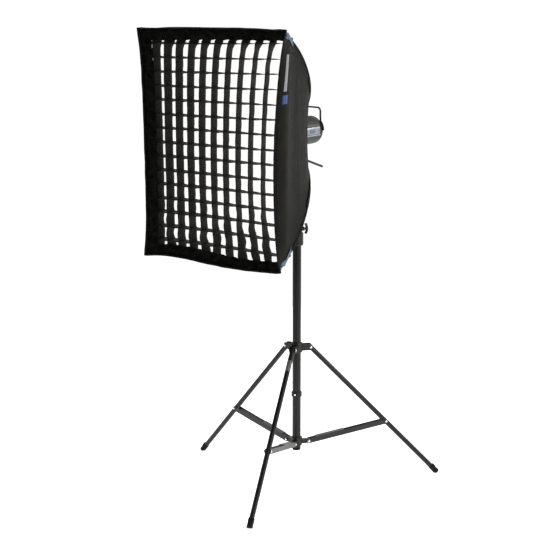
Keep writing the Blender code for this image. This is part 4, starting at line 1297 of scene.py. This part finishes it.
def vent(turn, y):
    """One cooling slot with its raised lip; its opening is a flat face in painted shade."""
    centre = on_head(turn, y, 0.0)
    out = (centre - Vector((COLUMN_X, y, AXIS_Z))).normalized()
    side = Vector((0, 1, 0)).cross(out).normalized()
    verts = []
    for k in range(12):
        angle = 2 * math.pi * k / 12
        reach = Vector((0, 1, 0)) * (0.0056 * math.cos(angle)) + side * (
            0.0016 * math.sin(angle))
        verts.append(centre + reach + out * 0.00025)
        verts.append(centre + reach * 1.28 + out * 0.00060)
        verts.append(centre + reach * 1.50 - out * 0.00010)
    faces = [tuple(range(0, 36, 3))]
    for k in range(12):
        a, b = k * 3, ((k + 1) % 12) * 3
        faces.append((a, a + 1, b + 1, b))
        faces.append((a + 1, a + 2, b + 2, b + 1))
    # The first face closes the slot's opening in painted shade, in place of a hole into the housing.
    slot = new_mesh("slot", verts, faces, [PAINTED_SLOT_SHADE, HEAD_PAINT])
    for face in slot.data.polygons[1:]:
        face.material_index = 1
    return slot


def build_vents():
    """Rows of pressed cooling slots along the upper half of the head."""
    low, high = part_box("head_housing")
    slots = [vent(turn, y) for turn in range(34, 147, 8)
        for y in steps(low.y + 0.030, high.y - 0.022, 9)]
    piece(joined("head_vents", slots), "flash_head")


def build_head_trim():
    for side in ("right", "left"):
        sign = 1 if side == "right" else -1
        base = 0 if side == "right" else 180
        low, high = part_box("side_trim_" + side)
        for label, start, end, first, last, lift, mat in (
                ("badge", -6.0, 11.0, 0.46, 0.74, 0.0022, BADGE),
                ("edge_line", -16.0, -14.2, 0.0, 1.06, 0.0006, BADGE_LINE),
                ("blue_line", -20.5, -17.5, 0.0, 1.06, 0.0005, BADGE)):
            a = base + sign * start
            b = base + sign * end
            y0 = low.y + (high.y - low.y) * first
            y1 = low.y + (high.y - low.y) * last
            head_strip(f"head_{label}_{side}", (a, b) if sign > 0 else (b, a), (y0, y1), lift,
                0.0006, mat)


def build_inlet_pins():
    low = PANEL_REAR
    blades = []
    for dx, dz, wide, tall in ((-0.0055, -0.0340, 0.0010, 0.0034),
            (0.0055, -0.0340, 0.0010, 0.0034),
            (0.0, -0.0365, 0.0010, 0.0034)):
        path = [Vector((COLUMN_X + dx, low - 0.0138, AXIS_Z + dz)),
            Vector((COLUMN_X + dx, low - 0.0040, AXIS_Z + dz)),
            Vector((COLUMN_X + dx, low - 0.0028, AXIS_Z + dz))]

        def section(share, wide=wide, tall=tall):
            trim = 0.6 if share > 0.9 else 1.0
            return [(-wide * trim, -tall * trim), (wide * trim, -tall * trim),
                (wide * trim, tall * trim), (-wide * trim, tall * trim)]
        blade = sweep("blade", path, section, NICKEL)
        clean(blade, 30)
        blades.append(blade)
    piece(joined("inlet_pins", blades), "flash_head")


def build_dial_scale():
    """Eleven pale marks round the power dial."""
    low = PANEL_REAR
    ticks = []
    dial = middle("power_dial")
    for k in range(11):
        turn = math.radians(225 - 27 * k)
        ray = Vector((-math.cos(turn), 0, math.sin(turn)))
        a = Vector((dial.x, low + 0.0002, dial.z)) + ray * 0.0152
        b = Vector((dial.x, low + 0.0002, dial.z)) + ray * (0.0178 if k % 5 else 0.0190)
        across = ray.cross(Vector((0, 1, 0))) * 0.00045
        verts = [a - across, a + across, b + across, b - across]
        verts += [v + Vector((0, 0.0003, 0)) for v in verts]
        faces = [(0, 1, 2, 3), (7, 6, 5, 4), (0, 4, 5, 1), (1, 5, 6, 2), (2, 6, 7, 3),
            (3, 7, 4, 0)]
        ticks.append(new_mesh("tick", verts, faces, BADGE_LINE, smooth=False))
    scale = joined("dial_scale", ticks)
    clean(scale)
    piece(scale, "flash_head")


def build_panel_parts():
    """Indicator lenses, the dial's grip ribs and the panel's screws."""
    low = PANEL_REAR
    dial = middle("power_dial")
    lamps = []
    for k in range(3):
        spot = Vector((COLUMN_X + 0.025 + 0.006 * k, low - 0.0002, AXIS_Z + 0.024))
        lamps.append(turned("lens", [(0.0017, 0.0), (0.0017, 0.0005), (0.0012, 0.0011),
            (0.0, 0.0013)], spot, (0, 1, 0), LED, 12))
    piece(joined("indicator_lenses", lamps), "flash_head")
    grips = []
    for k in range(24):
        turn = 2 * math.pi * k / 24
        ray = Vector((math.cos(turn), 0, math.sin(turn)))
        base = Vector((dial.x, low + 0.0012, dial.z)) + ray * 0.0119
        path = [base, base + Vector((0, 0.0086, 0))]
        rib = sweep("rib", path, ring_section(0.0006, 0.0006, 6), DIAL,
            [ray, ray])
        clean(rib)
        grips.append(rib)
    piece(joined("dial_grip", grips), "power_dial")
    screws = []
    for turn in (35, 145, 215, 325):
        ray = Vector((math.cos(math.radians(turn)), 0, math.sin(math.radians(turn))))
        at = Vector((COLUMN_X, low - 0.0026, AXIS_Z)) + ray * 0.0462
        screws.append(turned("screw", [(0.0026, 0.0), (0.0026, 0.0012), (0.0018, 0.0019),
            (0.0010, 0.0019), (0.0008, 0.0012), (0.0, 0.0012)],
            at, (0, 1, 0), SPRING, 16))
    piece(joined("panel_screws", screws), "flash_head")


# ---- floor, lights, camera -------------------------------------------------------------
BRIGHT_SIDE = (0.471, 0.882, 0.0)
DIM = 0.22
BRIGHT = 1.05


def build_surround():
    """White walls behind and to the right of the object, a dimmer room in front."""
    surround = bpy.data.worlds.new("studio")
    surround.use_nodes = True
    tree = surround.node_tree
    background = tree.nodes["Background"]
    place = tree.nodes.new("ShaderNodeTexCoord")
    dot = tree.nodes.new("ShaderNodeVectorMath")
    dot.operation = "DOT_PRODUCT"
    dot.inputs[1].default_value = BRIGHT_SIDE
    tree.links.new(place.outputs["Generated"], dot.inputs[0])
    ramp = tree.nodes.new("ShaderNodeMapRange")
    ramp.interpolation_type = "SMOOTHSTEP"
    for index, value in enumerate((-0.05, 0.22, DIM, BRIGHT), 1):
        ramp.inputs[index].default_value = value
    tree.links.new(dot.outputs["Value"], ramp.inputs[0])
    tree.links.new(ramp.outputs[0], background.inputs["Strength"])
    background.inputs["Color"].default_value = (1, 1, 1, 1)
    bpy.context.scene.world = surround


FLOOR_HALF = 3
# name, place, size in metres and watts
LAMPS = (("key", (-3.2, -3.6, 3.6), 1.8, 40), ("fill", (4.2, -0.6, 2.0), 2.2, 60),
    ("back", (1.8, 3.6, 3.0), 2.0, 60))


def build_studio():
    spots = steps(-FLOOR_HALF, FLOOR_HALF, 12)
    rows = [[Vector((x, y, 0.0)) for x in spots] for y in spots]
    look = Look("pale_floor", (0.93, 0.93, 0.93), 0.9, Specular_IOR_Level=0.1,
        Emission_Color=(1, 1, 1, 1), Emission_Strength=0.8)
    place = look.coords()
    look.colour(look.mix(look.noise(place, 3.0), (0.91, 0.91, 0.91), (0.95, 0.95, 0.95)))
    floor = lattice("studio_floor", rows, look.mat)
    floor.location.z = -0.0005
    build_surround()
    centre = Vector((0, -0.2, 1.0))
    for name, spot, size, power in LAMPS:
        data = bpy.data.lights.new(name, "AREA")
        data.size = size
        data.energy = power
        lamp = bpy.data.objects.new(name, data)
        lamp.location = spot
        lamp.rotation_mode = "QUATERNION"
        lamp.rotation_quaternion = (centre - Vector(spot)).to_track_quat("-Z", "Y")
        bpy.context.scene.collection.objects.link(lamp)


# the camera's place is found from the column's foot: away from it, up, and turned round it
CAMERA_AWAY = 6.3514
CAMERA_HEIGHT = 2.0568
CAMERA_TURN = math.radians(31.45)
CAMERA_DOWN = math.radians(10.76)
CAMERA_PAN = math.radians(0.78)
CAMERA_LENS = 107.2


def build_camera():
    data = bpy.data.cameras.new("camera")
    data.lens = CAMERA_LENS
    data.sensor_width = 36.0
    data.clip_end = 100
    camera = bpy.data.objects.new("camera", data)
    camera.location = (COLUMN_X + CAMERA_AWAY * math.sin(CAMERA_TURN),
        COLUMN_Y - CAMERA_AWAY * math.cos(CAMERA_TURN), CAMERA_HEIGHT)
    camera.rotation_euler = (math.pi / 2 - CAMERA_DOWN, 0, CAMERA_TURN + CAMERA_PAN)
    bpy.context.scene.collection.objects.link(camera)
    bpy.context.scene.camera = camera
    bpy.context.scene.view_settings.view_transform = "Standard"


dress_frame()
build_studio()
build_camera()
build_panels()
build_lip_tape()
build_front_binding()
build_uprights()
build_crossings()
build_grid_hem()
build_grid_wall()
build_diffuser()
build_baffle()
build_seams()
build_seam_flaps()
build_rear_skirt()
build_label()
build_rivets()
build_collar_line()
build_vents()
build_head_trim()
build_inlet_pins()
build_dial_scale()
build_panel_parts()
